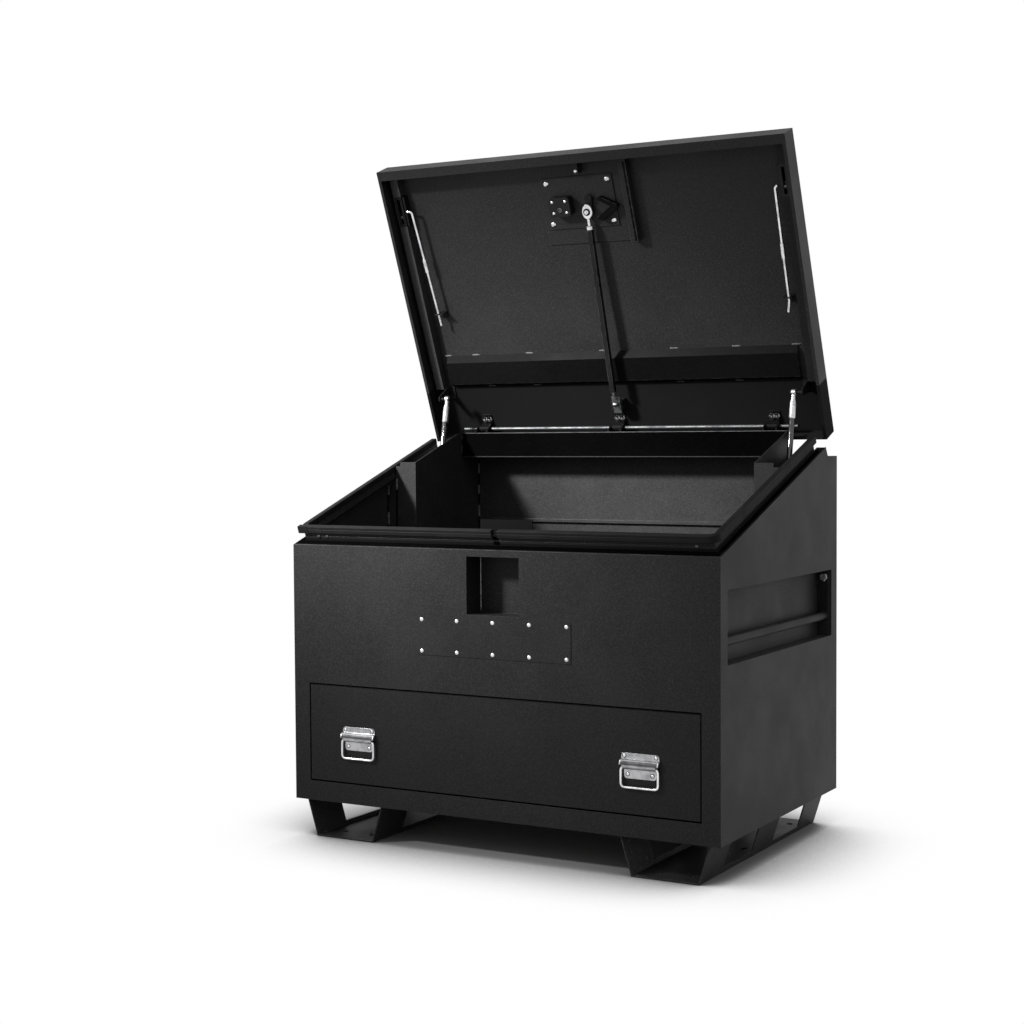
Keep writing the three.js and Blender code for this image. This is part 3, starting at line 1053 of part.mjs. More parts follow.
// A wire bail: down from one barrel end, across and up to the other.
function handleBail(x) {
  const [pivotY, pivotZ] = BAIL_PIVOT;
  const half = BAIL_WIDTH / 2;
  const inner = BARREL_WIDTH / 2 - BAIL_GRIP;
  const low = pivotZ - BAIL_DROP;
  const point = (dx, z) => new THREE.Vector3(x + dx, -pivotY, z);
  const path = new THREE.CurvePath();
  const run = (from, to) => path.add(new THREE.LineCurve3(from, to));
  const bend = (from, corner, to) => path.add(new THREE.QuadraticBezierCurve3(from, corner, to));
  for (const side of [-1, 1]) {
    const stops = [point(side * inner, pivotZ), point(side * (half - BAIL_INNER_BEND), pivotZ),
      point(side * half, pivotZ), point(side * half, pivotZ - BAIL_INNER_BEND),
      point(side * half, low + BAIL_CORNER), point(side * half, low),
      point(side * (half - BAIL_CORNER), low)];
    if (side < 0) {
      run(stops[0], stops[1]);
      bend(stops[1], stops[2], stops[3]);
      run(stops[3], stops[4]);
      bend(stops[4], stops[5], stops[6]);
      run(stops[6], point(half - BAIL_CORNER, low));
    } else {
      bend(stops[6], stops[5], stops[4]);
      run(stops[4], stops[3]);
      bend(stops[3], stops[2], stops[1]);
      run(stops[1], stops[0]);
    }
  }
  const circle = arc([0, 0], BAIL_RADIUS, 0, 360, BAIL_SIDES).slice(1);
  const section = new THREE.Shape(circle.map(([a, b]) => new THREE.Vector2(a, b)));
  return new THREE.ExtrudeGeometry(section, { steps: BAIL_STEPS, bevelEnabled: false, extrudePath: path });
}

// The body
piece("front_panel", frontPanel(), blackCoat());
piece("back_panel", backPanel(), blackCoat());
piece("bottom_panel", bottomPanel(), blackCoat());
piece("compartment_floor", compartmentFloor(), blackCoat());
piece("rear_rim", rearRim(), blackCoat());
piece("rim_seal", rimSeal(), blackRubber(), SLOPE);
piece("lock_well", lockWell(), blackCoat());
piece("name_plate", namePlate(), blackCoat());
piece("hinge_rod", hingeRod(), zinc());
piece("drawer_box", drawerBox(), blackCoat());

// The lid and its lock
piece("lid_pan", lidPan(), blackCoat(), LID);
piece("cross_member", crossMember(), blackCoat(), LID);
piece("backing_plate", backingPlate(), blackCoat(), LID);
piece("lock_guide", lockGuide(), blackCoat(), LID);
piece("lock_plate", lockPlate(), blackCoat(), LID);
piece("lock_body", lockBody(), blackPlastic(), LID);
piece("lever_stop", leverStop(), blackCoat(), LID);
piece("lock_handle", lockHandle(), zinc(), LID);
piece("push_rod", pushRod(), blackCoat(), LID);
piece("rear_bolt", rearBolt(), zinc(), LID);
piece("bolt_guide", boltGuide(), blackCoat(), LID);
piece("striker", striker(), blackCoat(), LID);

for (const [name, x] of Object.entries(HINGE_PLACES)) {
  piece(`hinge_bracket_${name}`, hingeBracket(x), blackCoat());
  piece(`hinge_ear_${name}`, hingeEar(x), zinc(), LID);
}

// The pieces that come in pairs
for (const [name, side] of [["left", -1], ["right", 1]]) {
  piece(`side_panel_${name}`, sidePanel(side), blackCoat());
  piece(`side_pocket_${name}`, sidePocket(side), blackCoat());
  piece(`side_handle_${name}`, sideHandle(side), blackCoat());
  piece(`skid_${name}`, skid(side), blackCoat());
  piece(`strut_guard_${name}`, strutGuard(side), blackCoat());
  piece(`drawer_runner_${name}`, drawerRunner(side), zinc());
  piece(`handle_plate_${name}`, handlePlate(side * CHEST_HANDLE_X), chrome());
  piece(`handle_bail_${name}`, handleBail(side * CHEST_HANDLE_X), chrome());
  piece(`lid_channel_${name}`, lidChannel(side), blackCoat(), LID);
  piece(`latch_body_${name}`, latchBody(side), blackPlastic(), LID);
  piece(`latch_claw_${name}`, latchClaw(side), zinc(), LID);
  piece(`trigger_rod_${name}`, triggerRod(name, side), zinc(), LID);
  piece(`rod_bracket_${name}`, rodBracket(name, side), blackCoat(), LID);
  piece(`strut_bracket_${name}`, strutBracket(side), blackCoat(), LID);
  piece(`strut_cylinder_${name}`, strutCylinder(side), blackGloss());
  piece(`strut_rod_${name}`, strutRod(side), chrome());
}

// The box stands on its skids, with the middle of its footprint at the origin.
const bounds = new THREE.Box3().setFromObject(box, true);
const middle = bounds.getCenter(new THREE.Vector3());
box.position.set(-middle.x, -middle.y, -bounds.min.z);

export default box;
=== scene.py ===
import json
import math
import random

import bmesh
import bpy
from mathutils import Matrix, Vector
from mathutils.bvhtree import BVHTree


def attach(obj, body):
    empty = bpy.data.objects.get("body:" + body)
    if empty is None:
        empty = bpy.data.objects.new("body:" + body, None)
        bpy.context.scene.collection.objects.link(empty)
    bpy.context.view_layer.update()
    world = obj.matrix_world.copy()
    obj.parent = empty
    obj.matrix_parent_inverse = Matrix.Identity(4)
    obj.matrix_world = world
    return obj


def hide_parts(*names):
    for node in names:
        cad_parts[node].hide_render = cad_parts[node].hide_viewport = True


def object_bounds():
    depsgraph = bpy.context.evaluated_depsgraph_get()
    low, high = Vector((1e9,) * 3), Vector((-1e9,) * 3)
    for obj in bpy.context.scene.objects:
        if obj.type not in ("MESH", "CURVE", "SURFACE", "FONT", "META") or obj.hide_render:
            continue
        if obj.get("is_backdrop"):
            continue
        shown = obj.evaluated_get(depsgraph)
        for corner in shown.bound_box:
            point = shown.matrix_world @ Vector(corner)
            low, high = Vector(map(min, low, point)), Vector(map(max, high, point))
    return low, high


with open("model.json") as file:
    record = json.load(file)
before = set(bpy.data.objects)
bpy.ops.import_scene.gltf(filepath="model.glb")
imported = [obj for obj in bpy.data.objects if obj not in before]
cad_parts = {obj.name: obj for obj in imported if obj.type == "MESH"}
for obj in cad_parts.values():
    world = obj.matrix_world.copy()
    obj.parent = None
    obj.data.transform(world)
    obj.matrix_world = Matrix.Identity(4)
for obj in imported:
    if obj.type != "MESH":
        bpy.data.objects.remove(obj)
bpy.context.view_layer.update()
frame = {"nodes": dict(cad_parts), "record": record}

# The box stands on white studio paper. A long lens looks at its front right corner from about
# the height of its rim, under an even white sky and one soft lamp high on the left.
CAMERA_PLACE = (2.15329, -3.96533, 1.02407)
CAMERA_YAW = math.radians(29.14)
CAMERA_PITCH = math.radians(-2.45)
CAMERA_ROLL = math.radians(-0.31)
CAMERA_LENS = 60.79
CAMERA_SHIFT = (-0.0344, 0.002)
CAMERA_FILM = 36
WHITE = (1, 1, 1, 1)
PAPER_TONE = (0.3, 0.3, 0.3, 1)
PAPER_HALF = 30
SQUARE = ((-1, -1), (1, -1), (1, 1), (-1, 1))
SHADOW_REACH = 0.44
SHADOW_SPAN = (0.35, 0.92)
SHADOW_SAMPLES = 16
SKY_LIGHT = 0.5
LAMP_PLACE = (-2.1, -2.35, 2.6)
LAMP_AIM = (-0.3, -0.1, 0.95)
LAMP_SIDE = 0.42
LAMP_POWER = 12
LAMP_SPREAD = math.radians(30)


def link(name, data):
    """A new object in the scene."""
    thing = bpy.data.objects.new(name, data)
    bpy.context.scene.collection.objects.link(thing)
    return thing


camera = link("studio_camera", bpy.data.cameras.new("studio_camera"))
bpy.context.scene.camera = camera
bpy.context.scene.view_settings.view_transform = "Standard"
camera.data.sensor_width = CAMERA_FILM
camera.data.lens = CAMERA_LENS
camera.data.shift_x, camera.data.shift_y = CAMERA_SHIFT
camera.matrix_world = (
    Matrix.Translation(CAMERA_PLACE)
    @ Matrix.Rotation(CAMERA_YAW, 4, "Z")
    @ Matrix.Rotation(math.pi / 2 + CAMERA_PITCH, 4, "X")
    @ Matrix.Rotation(CAMERA_ROLL, 4, "Z")
)


class Shade:
    """A value on its way through the nodes of one material, which takes plain arithmetic."""

    def __init__(self, tree, socket=None):
        self.tree = tree
        self.socket = socket

    def node(self, kind, settings, inputs, output=0):
        """Adds any node, sets it up, feeds it numbers or other shades and returns one output."""
        made = self.tree.nodes.new(kind)
        for name, value in settings.items():
            setattr(made, name, value)
        for name, value in inputs.items():
            if isinstance(value, Shade):
                self.tree.links.new(value.socket, made.inputs[name])
            else:
                made.inputs[name].default_value = value
        return Shade(self.tree, made.outputs[output] if made.outputs else None)

    def maths(self, operation, first, second):
        return self.node("ShaderNodeMath", {"operation": operation}, {0: first, 1: second})

    def __add__(self, other):
        return self.maths("ADD", self, other)

    def __radd__(self, other):
        return self.maths("ADD", other, self)

    def __sub__(self, other):
        return self.maths("SUBTRACT", self, other)

    def __rsub__(self, other):
        return self.maths("SUBTRACT", other, self)

    def __mul__(self, other):
        return self.maths("MULTIPLY", self, other)

    def __rmul__(self, other):
        return self.maths("MULTIPLY", other, self)

    def span(self, low, high, to_low=0.0, to_high=1.0):
        """Stretches the part of the value between two limits, smoothly, to two others."""
        limits = {"Value": self, "From Min": low, "From Max": high, "To Min": to_low, "To Max": to_high}
        return self.node("ShaderNodeMapRange", {"interpolation_type": "SMOOTHSTEP"}, limits)

    def blend(self, first, second):
        """Mixes two colours by this value."""
        return self.node("ShaderNodeMix", {"data_type": "RGBA"}, {0: self, 6: first, 7: second}, 2)


def start_material(name):
    """An empty material and the shade that its nodes grow from."""
    material = bpy.data.materials.new(name)
    material.use_nodes = True
    material.node_tree.nodes.clear()
    return material, Shade(material.node_tree)


def seen_by_eye(shade):
    """1 for what the lens, a polished surface or glass sees, and 0 for what only lights."""
    paths = [shade.node("ShaderNodeLightPath", {}, {}, name)
             for name in ("Is Camera Ray", "Is Glossy Ray", "Is Transmission Ray")]
    return shade.maths("MAXIMUM", paths[0], shade.maths("MAXIMUM", paths[1], paths[2]))


world = bpy.data.worlds.new("studio_sky")
bpy.context.scene.world = world
world.use_nodes = True
world.node_tree.nodes.clear()
sky = Shade(world.node_tree)
sky_light = sky.node("ShaderNodeBackground", {}, {"Color": WHITE, "Strength": SKY_LIGHT})
sky_seen = sky.node("ShaderNodeBackground", {}, {"Color": WHITE, "Strength": 1.0})
sky_mix = sky.node("ShaderNodeMixShader", {}, {0: seen_by_eye(sky), 1: sky_light, 2: sky_seen})
sky.node("ShaderNodeOutputWorld", {}, {"Surface": sky_mix})

paper_mesh = bpy.data.meshes.new("studio_paper")
paper_mesh.from_pydata([(x * PAPER_HALF, y * PAPER_HALF, 0) for x, y in SQUARE], [], [(0, 1, 2, 3)])
paper = link("studio_paper", paper_mesh)
paper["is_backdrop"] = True
paper_material, paper_shade = start_material("studio_paper")
nearness = paper_shade.node(
    "ShaderNodeAmbientOcclusion", {"samples": SHADOW_SAMPLES}, {"Distance": SHADOW_REACH}, "AO")
openness = nearness.span(*SHADOW_SPAN)
paper_lit = paper_shade.node("ShaderNodeBsdfDiffuse", {}, {"Color": PAPER_TONE})
paper_glow = paper_shade.node("ShaderNodeEmission", {}, {"Color": WHITE, "Strength": 1.0})
paper_mix = paper_shade.node("ShaderNodeMixShader", {}, {
    0: openness * seen_by_eye(paper_shade), 1: paper_lit, 2: paper_glow})
paper_shade.node("ShaderNodeOutputMaterial", {}, {"Surface": paper_mix})
paper_mesh.materials.append(paper_material)

light = bpy.data.lights.new("lamp_left", "AREA")
light.shape = "RECTANGLE"
light.size = LAMP_SIDE
light.size_y = LAMP_SIDE
light.energy = LAMP_POWER
light.spread = LAMP_SPREAD
lamp = link("lamp_left", light)
lamp.location = LAMP_PLACE
lamp.rotation_euler = (Vector(LAMP_AIM) - Vector(LAMP_PLACE)).to_track_quat("-Z", "Y").to_euler()

# Two troughs of thick steel run under the body and carry it clear of the ground for the forks
# of a lift truck. Each is folded from one sheet with two windows a side, and welded on.
SKID_SHEET = 0.004
SIDES = (("left", -1), ("right", 1))
FOLD_SHARE = 0.7
EDGE_SHARE = 0.2
FOLD_ANGLE = math.radians(36.8)
ROUND_LIMIT = math.cos(math.radians(36.5))
ROUND_STEPS = 3
CUT_WIDTH = 1.35
FLAT_ANGLE = math.radians(0.2)
SAME_POINT = 2e-5
TOUCHING = 5e-5
EDGE_SPOTS = (0.08, 0.5, 0.92)
AREA_RATIO = 4


def grey(level, blue):
    """A grey with a trace of blue in it, as carbon black and zinc have."""
    return (level, level, blue, 1)


COAT_TONE = grey(0.017, 0.0175)
COAT_CLOUD = grey(0.024, 0.0245)
COAT_RUBBED = grey(0.085, 0.088)
COAT_SCRATCHED = grey(0.32, 0.33)
COAT_DUST = (0.12, 0.118, 0.112, 1)
# The near black of painted shade.
COAT_PAINTED_SHADE = grey(0.002, 0.002)
COAT_GLOSS = 0.14
COAT_RUB = 0.55
CLOUD_ROUGHNESS = (0.46, 0.56)
PEBBLE_CROWN = 3.8
PEBBLE_SHARE = 0.45
PEBBLE_HEIGHT = 0.6
PEBBLE_ROUGHNESS = 0.06
LUMP_HEIGHT = 0.4
RUB_POLISH = 0.12
DUST_ROUGHNESS = 0.2
PAINTED_SHADE_SHARE = 0.95
PAINTED_SHADE_ROUGHNESS = 0.5
STREAK_STRETCH = (1, 0.12, 2.4)


def end_material(shade, inputs):
    """Puts the colours and values worked out so far on the surface."""
    surface = shade.node("ShaderNodeBsdfPrincipled", {}, inputs)
    shade.node("ShaderNodeOutputMaterial", {}, {"Surface": surface})


def grain(shade, waves, detail=2.0, roughness=0.5, stretch=(1, 1, 1)):
    """Noise of so many waves to the metre, drawn out along an axis if asked."""
    place = shade.node("ShaderNodeTexCoord", {}, {}, "Object")
    drawn = shade.node("ShaderNodeMapping", {}, {"Vector": place, "Scale": stretch})
    return shade.node("ShaderNodeTexNoise", {}, {
        "Vector": drawn, "Scale": waves, "Detail": detail, "Roughness": roughness}, "Fac")


def relief(shade, height, strength, depth):
    """The direction of a surface with fine relief of so many metres on it."""
    return shade.node("ShaderNodeBump", {}, {
        "Height": height, "Strength": strength, "Distance": depth}, "Normal")


def powder_coat(name, tone=COAT_TONE, cloud=COAT_CLOUD, rubbed=COAT_RUB, scratched=0.0, dusty=0.0,
                gloss=COAT_GLOSS, painted_shade=()):
    """Fine textured black powder coat, cloudy by hand's breadths and rubbed pale on its folds.

    Painted shade darkens and roughens it between the two distances of each (direction, low, high) given
    last."""
    material, shade = start_material(name)
    clouds = grain(shade, waves=5, detail=3, roughness=0.6)
    pebbles = grain(shade, waves=340, detail=3, roughness=0.6)
    lumps = grain(shade, waves=150, detail=1)
    fold = shade.node("ShaderNodeAttribute", {"attribute_name": "worn"}, {}, "Fac")
    rub = fold * grain(shade, waves=38, detail=3, roughness=0.7).span(0.36, 0.66) * rubbed
    colour = clouds.span(0.35, 0.7).blend(tone, cloud)
    crowns = tuple(value * PEBBLE_CROWN for value in cloud[:3]) + (1,)
    colour = (pebbles.span(0.42, 0.72) * PEBBLE_SHARE).blend(colour, crowns)
    colour = rub.blend(colour, COAT_RUBBED)
    rough = clouds.span(0.3, 0.7, *CLOUD_ROUGHNESS) + pebbles * PEBBLE_ROUGHNESS - rub * RUB_POLISH
    if dusty:
        settled = grain(shade, waves=9, detail=4, roughness=0.65).span(0.48, 0.8) * dusty
        colour = settled.blend(colour, COAT_DUST)
        rough = rough + settled * DUST_ROUGHNESS
    # Painted shade: the colour goes near black between the given distances, where shade falls on the piece.
    if painted_shade:
        place = shade.node("ShaderNodeTexCoord", {}, {}, "Object")
        shade_mask = PAINTED_SHADE_SHARE
        for way, low, high in painted_shade:
            distance = shade.node(
                "ShaderNodeVectorMath", {"operation": "DOT_PRODUCT"}, {0: place, 1: way}, "Value")
            shade_mask = distance.span(low, high) * shade_mask
        colour = shade_mask.blend(colour, COAT_PAINTED_SHADE)
        rough = rough + shade_mask * PAINTED_SHADE_ROUGHNESS
    if scratched:
        streaks = grain(shade, 30, 4, 0.6, STREAK_STRETCH).span(0.665, 0.7)
        chips = grain(shade, waves=120, roughness=0.6).span(0.66, 0.7)
        patches = grain(shade, waves=7).span(0.5, 0.62)
        bare = shade.maths("MAXIMUM", streaks, chips) * patches * scratched
        colour = bare.blend(colour, COAT_SCRATCHED)
    end_material(shade, {
        "Base Color": colour,
        "Roughness": rough,
        "Normal": relief(shade, pebbles * PEBBLE_HEIGHT + lumps * LUMP_HEIGHT, strength=0.4, depth=0.0005),
        "Specular IOR Level": gloss})
    return material


def sheet_width(face):
    """About how wide a long thin face is, whatever its outline."""
    return 2 * face.calc_area() / sum(edge.calc_length() for edge in face.edges)


def cleaned(mesh):
    """A solid's mesh with its flat faces whole."""
    solid = bmesh.new()
    solid.from_mesh(mesh)
    bmesh.ops.remove_doubles(solid, verts=solid.verts, dist=SAME_POINT)
    bmesh.ops.dissolve_limit(solid, angle_limit=FLAT_ANGLE, verts=solid.verts, edges=solid.edges)
    return solid


BODY_OF = {
    node: body for body, nodes in frame["record"]["behaviour"]["bodies"].items() for node in nodes}
SLOT_OF = {part["node"]: part["material_slot"] for part in frame["record"]["subparts"]}
SURFACES = {node: BVHTree.FromBMesh(cleaned(thing.data)) for node, thing in frame["nodes"].items()}


def on_another(edge, own):
    """True if an edge lies on another piece of the same body, so that the two join flush."""
    start, end = (corner.co for corner in edge.verts)
    spots = [start.lerp(end, share) for share in EDGE_SPOTS]
    near = [node for node, body in BODY_OF.items() if body == BODY_OF.get(own) and node != own]
    return any(all(SURFACES[node].find_nearest(spot, TOUCHING)[0] for spot in spots) for node in near)


def keep_flats_flat(mesh):
    """Lets only the rounded edges turn the shading, so that flat faces stay flat to their edges."""
    around = [[] for _ in mesh.vertices]
    for face in mesh.polygons:
        for corner in face.vertices:
            around[corner].append(face)
    normals = []
    for face in mesh.polygons:
        for corner in face.vertices:
            flats = [other for other in around[corner] if other.material_index == 0]
            if face.material_index == 0:
                alike = [other for other in flats if other.normal.dot(face.normal) > ROUND_LIMIT
                         and face.area <= other.area * AREA_RATIO
                         and other.area <= face.area * AREA_RATIO]
                normals.append(sum((other.normal for other in alike), Vector()).normalized())
            elif flats:
                normals.append(max(flats, key=lambda other: other.normal.dot(face.normal)).normal.copy())
            else:
                normals.append(sum((other.normal for other in around[corner]), Vector()).normalized())
    mesh.normals_split_custom_set(normals)


def rim_length(mesh, face):
    """How long the outline of a face is."""
    corners = [mesh.vertices[corner].co for corner in face.vertices]
    return sum((after - before).length for before, after in zip(corners, corners[1:] + corners[:1]))


def soften(thing, sheet, fold=FOLD_SHARE, edge=EDGE_SHARE, own=None):
    """Rounds the folds and the cut edges of a solid made of sheet, and marks them as worn."""
    solid = cleaned(thing.data)
    weight = solid.edges.layers.float.new("bevel_weight_edge")
    for line in solid.edges:
        line.smooth = True
        if len(line.link_faces) != 2 or abs(line.calc_face_angle(0)) < FOLD_ANGLE:
            continue
        if own and on_another(line, own):
            line.smooth = False
            continue
        cut = min(sheet_width(face) for face in line.link_faces) < sheet * CUT_WIDTH
        line[weight] = edge / fold if cut or line.calc_face_angle_signed(0) < 0 else 1
    solid.to_mesh(thing.data)
    solid.free()
    thing.data.materials.clear()
    thing.data.materials.append(None)
    thing.data.materials.append(None)
    rounding = thing.modifiers.new("rounding", "BEVEL")
    rounding.limit_method = "WEIGHT"
    rounding.width = sheet * fold
    rounding.segments = ROUND_STEPS
    rounding.use_clamp_overlap = True
    rounding.material = 1
    for face in thing.data.polygons:
        face.use_smooth = True
        face.material_index = 0
    rounded = thing.evaluated_get(bpy.context.evaluated_depsgraph_get())
    made_mesh = bpy.data.meshes.new_from_object(rounded)
    thing.modifiers.clear()
    thing.data = made_mesh
    keep_flats_flat(made_mesh)
    worn = made_mesh.attributes.new("worn", "FLOAT", "FACE")
    worn.data.foreach_set("value", [
        float(face.material_index == 1 and 2 * face.area / rim_length(made_mesh, face) < sheet * fold)
        for face in made_mesh.polygons])
    for face in made_mesh.polygons:
        face.material_index = 0
    return thing


def fit(thing, body, material, slot, *nodes):
    """Gives a piece its finish and fixes it to its body, in place of any plain solids named."""
    thing.data.materials.clear()
    thing.data.materials.append(material)
    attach(thing, body)
    if nodes:
        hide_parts(*nodes)
    return thing


def pressed(name, node, sheet, material, fold=FOLD_SHARE, edge=EDGE_SHARE):
    """The plain solid of one piece with its folds and cut edges rounded."""
    thing = link(name, frame["nodes"][node].data.copy())
    thing.data.name = name
    soften(thing, sheet, fold, edge, node)
    return fit(thing, BODY_OF[node], material, SLOT_OF[node], node)


skid_coat = powder_coat("skid_coat", rubbed=0.9, scratched=0.4, dusty=0.3)
for side, _ in SIDES:
    pressed(f"skid_trough_{side}", f"skid_{side}", SKID_SHEET, skid_coat)

# The box is welded from sheet: a front, two sides with a sloping top edge, a back and a bottom.
# Their joints are ground flush under the coat, so only the rounded corners and the drawer's
# opening show. The storage floor, a second sheet, hangs above the drawer.
SHEET = 0.0025
# Painted shade along the lowest centimetre of the rim's neck, under the seal, laid on by position.
RIM_PAINTED_SHADE = (
    ((0, -0.3355, 0.9421), 0.8399, 0.8409), ((0, 0.3355, -0.9421), -0.8511, -0.8471),
    ((0, 0.9421, 0.3355), -0.0993, -0.0963))
BODY_TONE = grey(0.009, 0.0092)
BODY_CLOUD = grey(0.013, 0.0132)

body_coat = powder_coat("body_coat", BODY_TONE, BODY_CLOUD, rubbed=0.35, painted_shade=RIM_PAINTED_SHADE)
# A lighter copy of the body's coat on the sides and pockets, as painted light, with the rim's painted
# shade.
side_lit_coat = powder_coat(
    "side_lit_coat", grey(0.0155, 0.0158), grey(0.022, 0.0224), rubbed=0.4, painted_shade=RIM_PAINTED_SHADE)
shaded_coat = powder_coat(
    "shaded_coat", grey(0.0035, 0.0036), grey(0.0055, 0.0056), gloss=0.05)
# A lighter copy of the coat on the back and the strut guards, as painted light.
inner_lit_coat = powder_coat(
    "inner_lit_coat", grey(0.013, 0.0133), grey(0.018, 0.0184), rubbed=0.35, dusty=0.08)
pressed("body_front", "front_panel", SHEET, body_coat)
for side, _ in SIDES:
    pressed(f"body_side_{side}", f"side_panel_{side}", SHEET, side_lit_coat)
pressed("body_back", "back_panel", SHEET, inner_lit_coat)
pressed("body_bottom", "bottom_panel", SHEET, body_coat)
pressed("storage_floor", "compartment_floor", SHEET, shaded_coat)

# The wide drawer is a tray of thinner sheet with a front that closes flush in its opening. It
# runs on a pair of plated steel slides, one on each web of the drawer's bay.
DRAWER_SHEET = 0.002
# Painted shadow along the drawer's top edge, in the gap to its opening.
DRAWER_PAINTED_SHADE = [((0, 0, 1), 0.3956, 0.3966)]
ZINC_TONE = (0.36, 0.365, 0.37, 1)
ZINC_DULL = (0.2, 0.205, 0.21, 1)
DIRT_TONE = (0.06, 0.058, 0.055, 1)
DIRT_ROUGHNESS = 0.25


def plated(name, tone, dull, roughness, spread=0.16, stain=0.5):
    """Plated metal, clouded where it has dulled, with fine rubbing and specks of dirt."""
    material, shade = start_material(name)
    clouds = grain(shade, waves=42, detail=4, roughness=0.62)
    fine = grain(shade, waves=1100)
    specks = grain(shade, waves=260, detail=3, roughness=0.6).span(0.58, 0.72) * stain
    colour = clouds.span(0.38, 0.68).blend(tone, dull)
    colour = specks.blend(colour, DIRT_TONE)
    clouded = clouds.span(0.3, 0.72, roughness, roughness + spread)
    end_material(shade, {
        "Base Color": colour,
        "Roughness": clouded + specks * DIRT_ROUGHNESS + fine * 0.05,
        "Normal": relief(shade, fine * 0.4 + clouds * 0.6, strength=0.25, depth=0.0004),
        "Metallic": 1.0})
    return material


zinc = plated("zinc_plate", ZINC_TONE, ZINC_DULL, roughness=0.32)
# A darker copy of the coat on the drawer, as painted shade.
drawer_shade_coat = powder_coat(
    "drawer_shade_coat", grey(0.007, 0.0072), grey(0.0102, 0.0104), rubbed=0.15, painted_shade=DRAWER_PAINTED_SHADE)
pressed("drawer_tray", "drawer_box", DRAWER_SHEET, drawer_shade_coat, fold=1.0)
for side, _ in SIDES:
    pressed(f"drawer_slide_{side}", f"drawer_runner_{side}", DRAWER_SHEET, zinc, fold=0.3)

# Two chest handles hang on the drawer front. Each is a bright pressed plate with a rolled hood,
# held by four cross-head screws on dark washers, and a wire bail hangs from the hood's ends. A
# dark strip along the hood stands for the shaded turn that the photograph shows.
HANDLE_PLACES = {"left": -0.398, "right": 0.398}
DRAWER_FACE = -0.3785
HANDLE_SCREWS = ((0.041, 0.2885), (-0.041, 0.2885), (0.032, 0.2455), (-0.032, 0.2455))
HANDLE_PLATE_SHEET = 0.002
SCREW_RADIUS = 0.0038
SCREW_RISE = 0.0018
SCREW_SHARES = ((0, 1), (0.35, 1), (0.8, 0.78), (1, 0.42), (1, 0))
ROUND_SIDES = 20
FINE_SIDES = 24
SMALL_SIDES = 16
HEX_SIDES = 6
CROSS_SINK = 0.00005
CROSS_LENGTH = 0.55
CROSS_WIDTH = 0.13
CROSS_RISE = 0.00012
WASHER_PROFILE = ((0, 0.0055), (0.0003, 0.0055), (0.0003, 0))
HOOD_HALF = 0.047
HOOD_BAND = (
    (-0.3884, 0.2772), (-0.3908, 0.2733), (-0.39148, 0.27), (-0.3915, 0.2687), (-0.39135, 0.2668),
    (-0.3895, 0.2668), (-0.3895, 0.272), (-0.387, 0.2772))
BAIL_PIVOT = (-0.3855, 0.263)
BAIL_INNER = 0.0335
BAIL_HALF = 0.048
BAIL_LOW = 0.215
BAIL_RADIUS = 0.003
BAIL_BEND = 0.011


def skin(solid, rings, closed=False):
    """Faces between each ring of corners and the next, and over the two ends or round to the first."""
    for low, high in zip(rings, rings[1:] + rings[:closed]):
        for index in range(max(len(low), len(high))):
            after = index + 1
            corners = (low[index % len(low)], low[after % len(low)],
                       high[after % len(high)], high[index % len(high)])
            solid.faces.new(list(dict.fromkeys(corners)))
    for end in (rings[0], rings[-1]):
        if len(end) > 2 and not closed:
            solid.faces.new(end)


def round_ring(solid, centre, side, other, radius, sides):
    """A ring of corners, or one corner where the radius is nothing."""
    if radius < 1e-6:
        return [solid.verts.new(centre)]
    turns = [2 * math.pi * index / sides for index in range(sides)]
    return [solid.verts.new(centre + (side * math.cos(turn) + other * math.sin(turn)) * radius)
            for turn in turns]


def turned(solid, place, axis, profile, sides=ROUND_SIDES, closed=False):
    """A form turned on a lathe, from steps of distance along its axis and radius."""
    along = Vector(axis).normalized()
    side = along.orthogonal().normalized()
    other = along.cross(side)
    skin(solid, [round_ring(solid, Vector(place) + along * distance, side, other, radius, sides)
                 for distance, radius in profile], closed)


def tube(solid, points, radius, sides=SMALL_SIDES):
    """A round bar along a line of points, its radius one number or one for each point."""
    points = [Vector(point) for point in points]
    ways = [(after - before).normalized() for before, after in zip(points, points[1:])]
    side = ways[0].orthogonal().normalized()
    rings = []
    for index, place in enumerate(points):
        along = (ways[max(index - 1, 0)] + ways[min(index, len(ways) - 1)]).normalized()
        side = (side - along * side.dot(along)).normalized()
        size = radius[index] if isinstance(radius, (list, tuple)) else radius
        rings.append(round_ring(solid, place, side, along.cross(side), size, sides))
    skin(solid, rings)


def bent(points, reach, steps=7):
    """A line of points with each inner corner drawn as a bend that starts so far before it."""
    points = [Vector(point) for point in points]
    line = [points[0]]
    for before, corner, after in zip(points, points[1:], points[2:]):
        start = corner + (before - corner).normalized() * reach
        end = corner + (after - corner).normalized() * reach
        for step in range(steps + 1):
            share = step / steps
            line.append(start.lerp(corner, share).lerp(corner.lerp(end, share), share))
    return line + [points[-1]]


def slab(solid, outline, thickness):
    """A flat plate from its outline and the vector through its thickness."""
    low = [solid.verts.new(Vector(corner)) for corner in outline]
    high = [solid.verts.new(Vector(corner) + Vector(thickness)) for corner in outline]
    skin(solid, [low, high])


def made(name, solid, crease=38):
    """An object from the forms gathered so far, smooth but for its sharp corners."""
    bmesh.ops.recalc_face_normals(solid, faces=solid.faces)
    mesh = bpy.data.meshes.new(name)
    solid.to_mesh(mesh)
    solid.free()
    for face in mesh.polygons:
        face.use_smooth = True
    mesh.set_sharp_from_angle(angle=math.radians(crease))
    return link(name, mesh)


def head(solid, place, axis, rise, radius, shares, sides=ROUND_SIDES):
    """The head of a fastener, from shares of its rise and of its radius."""
    turned(solid, place, axis, [(rise * up, radius * out) for up, out in shares], sides)


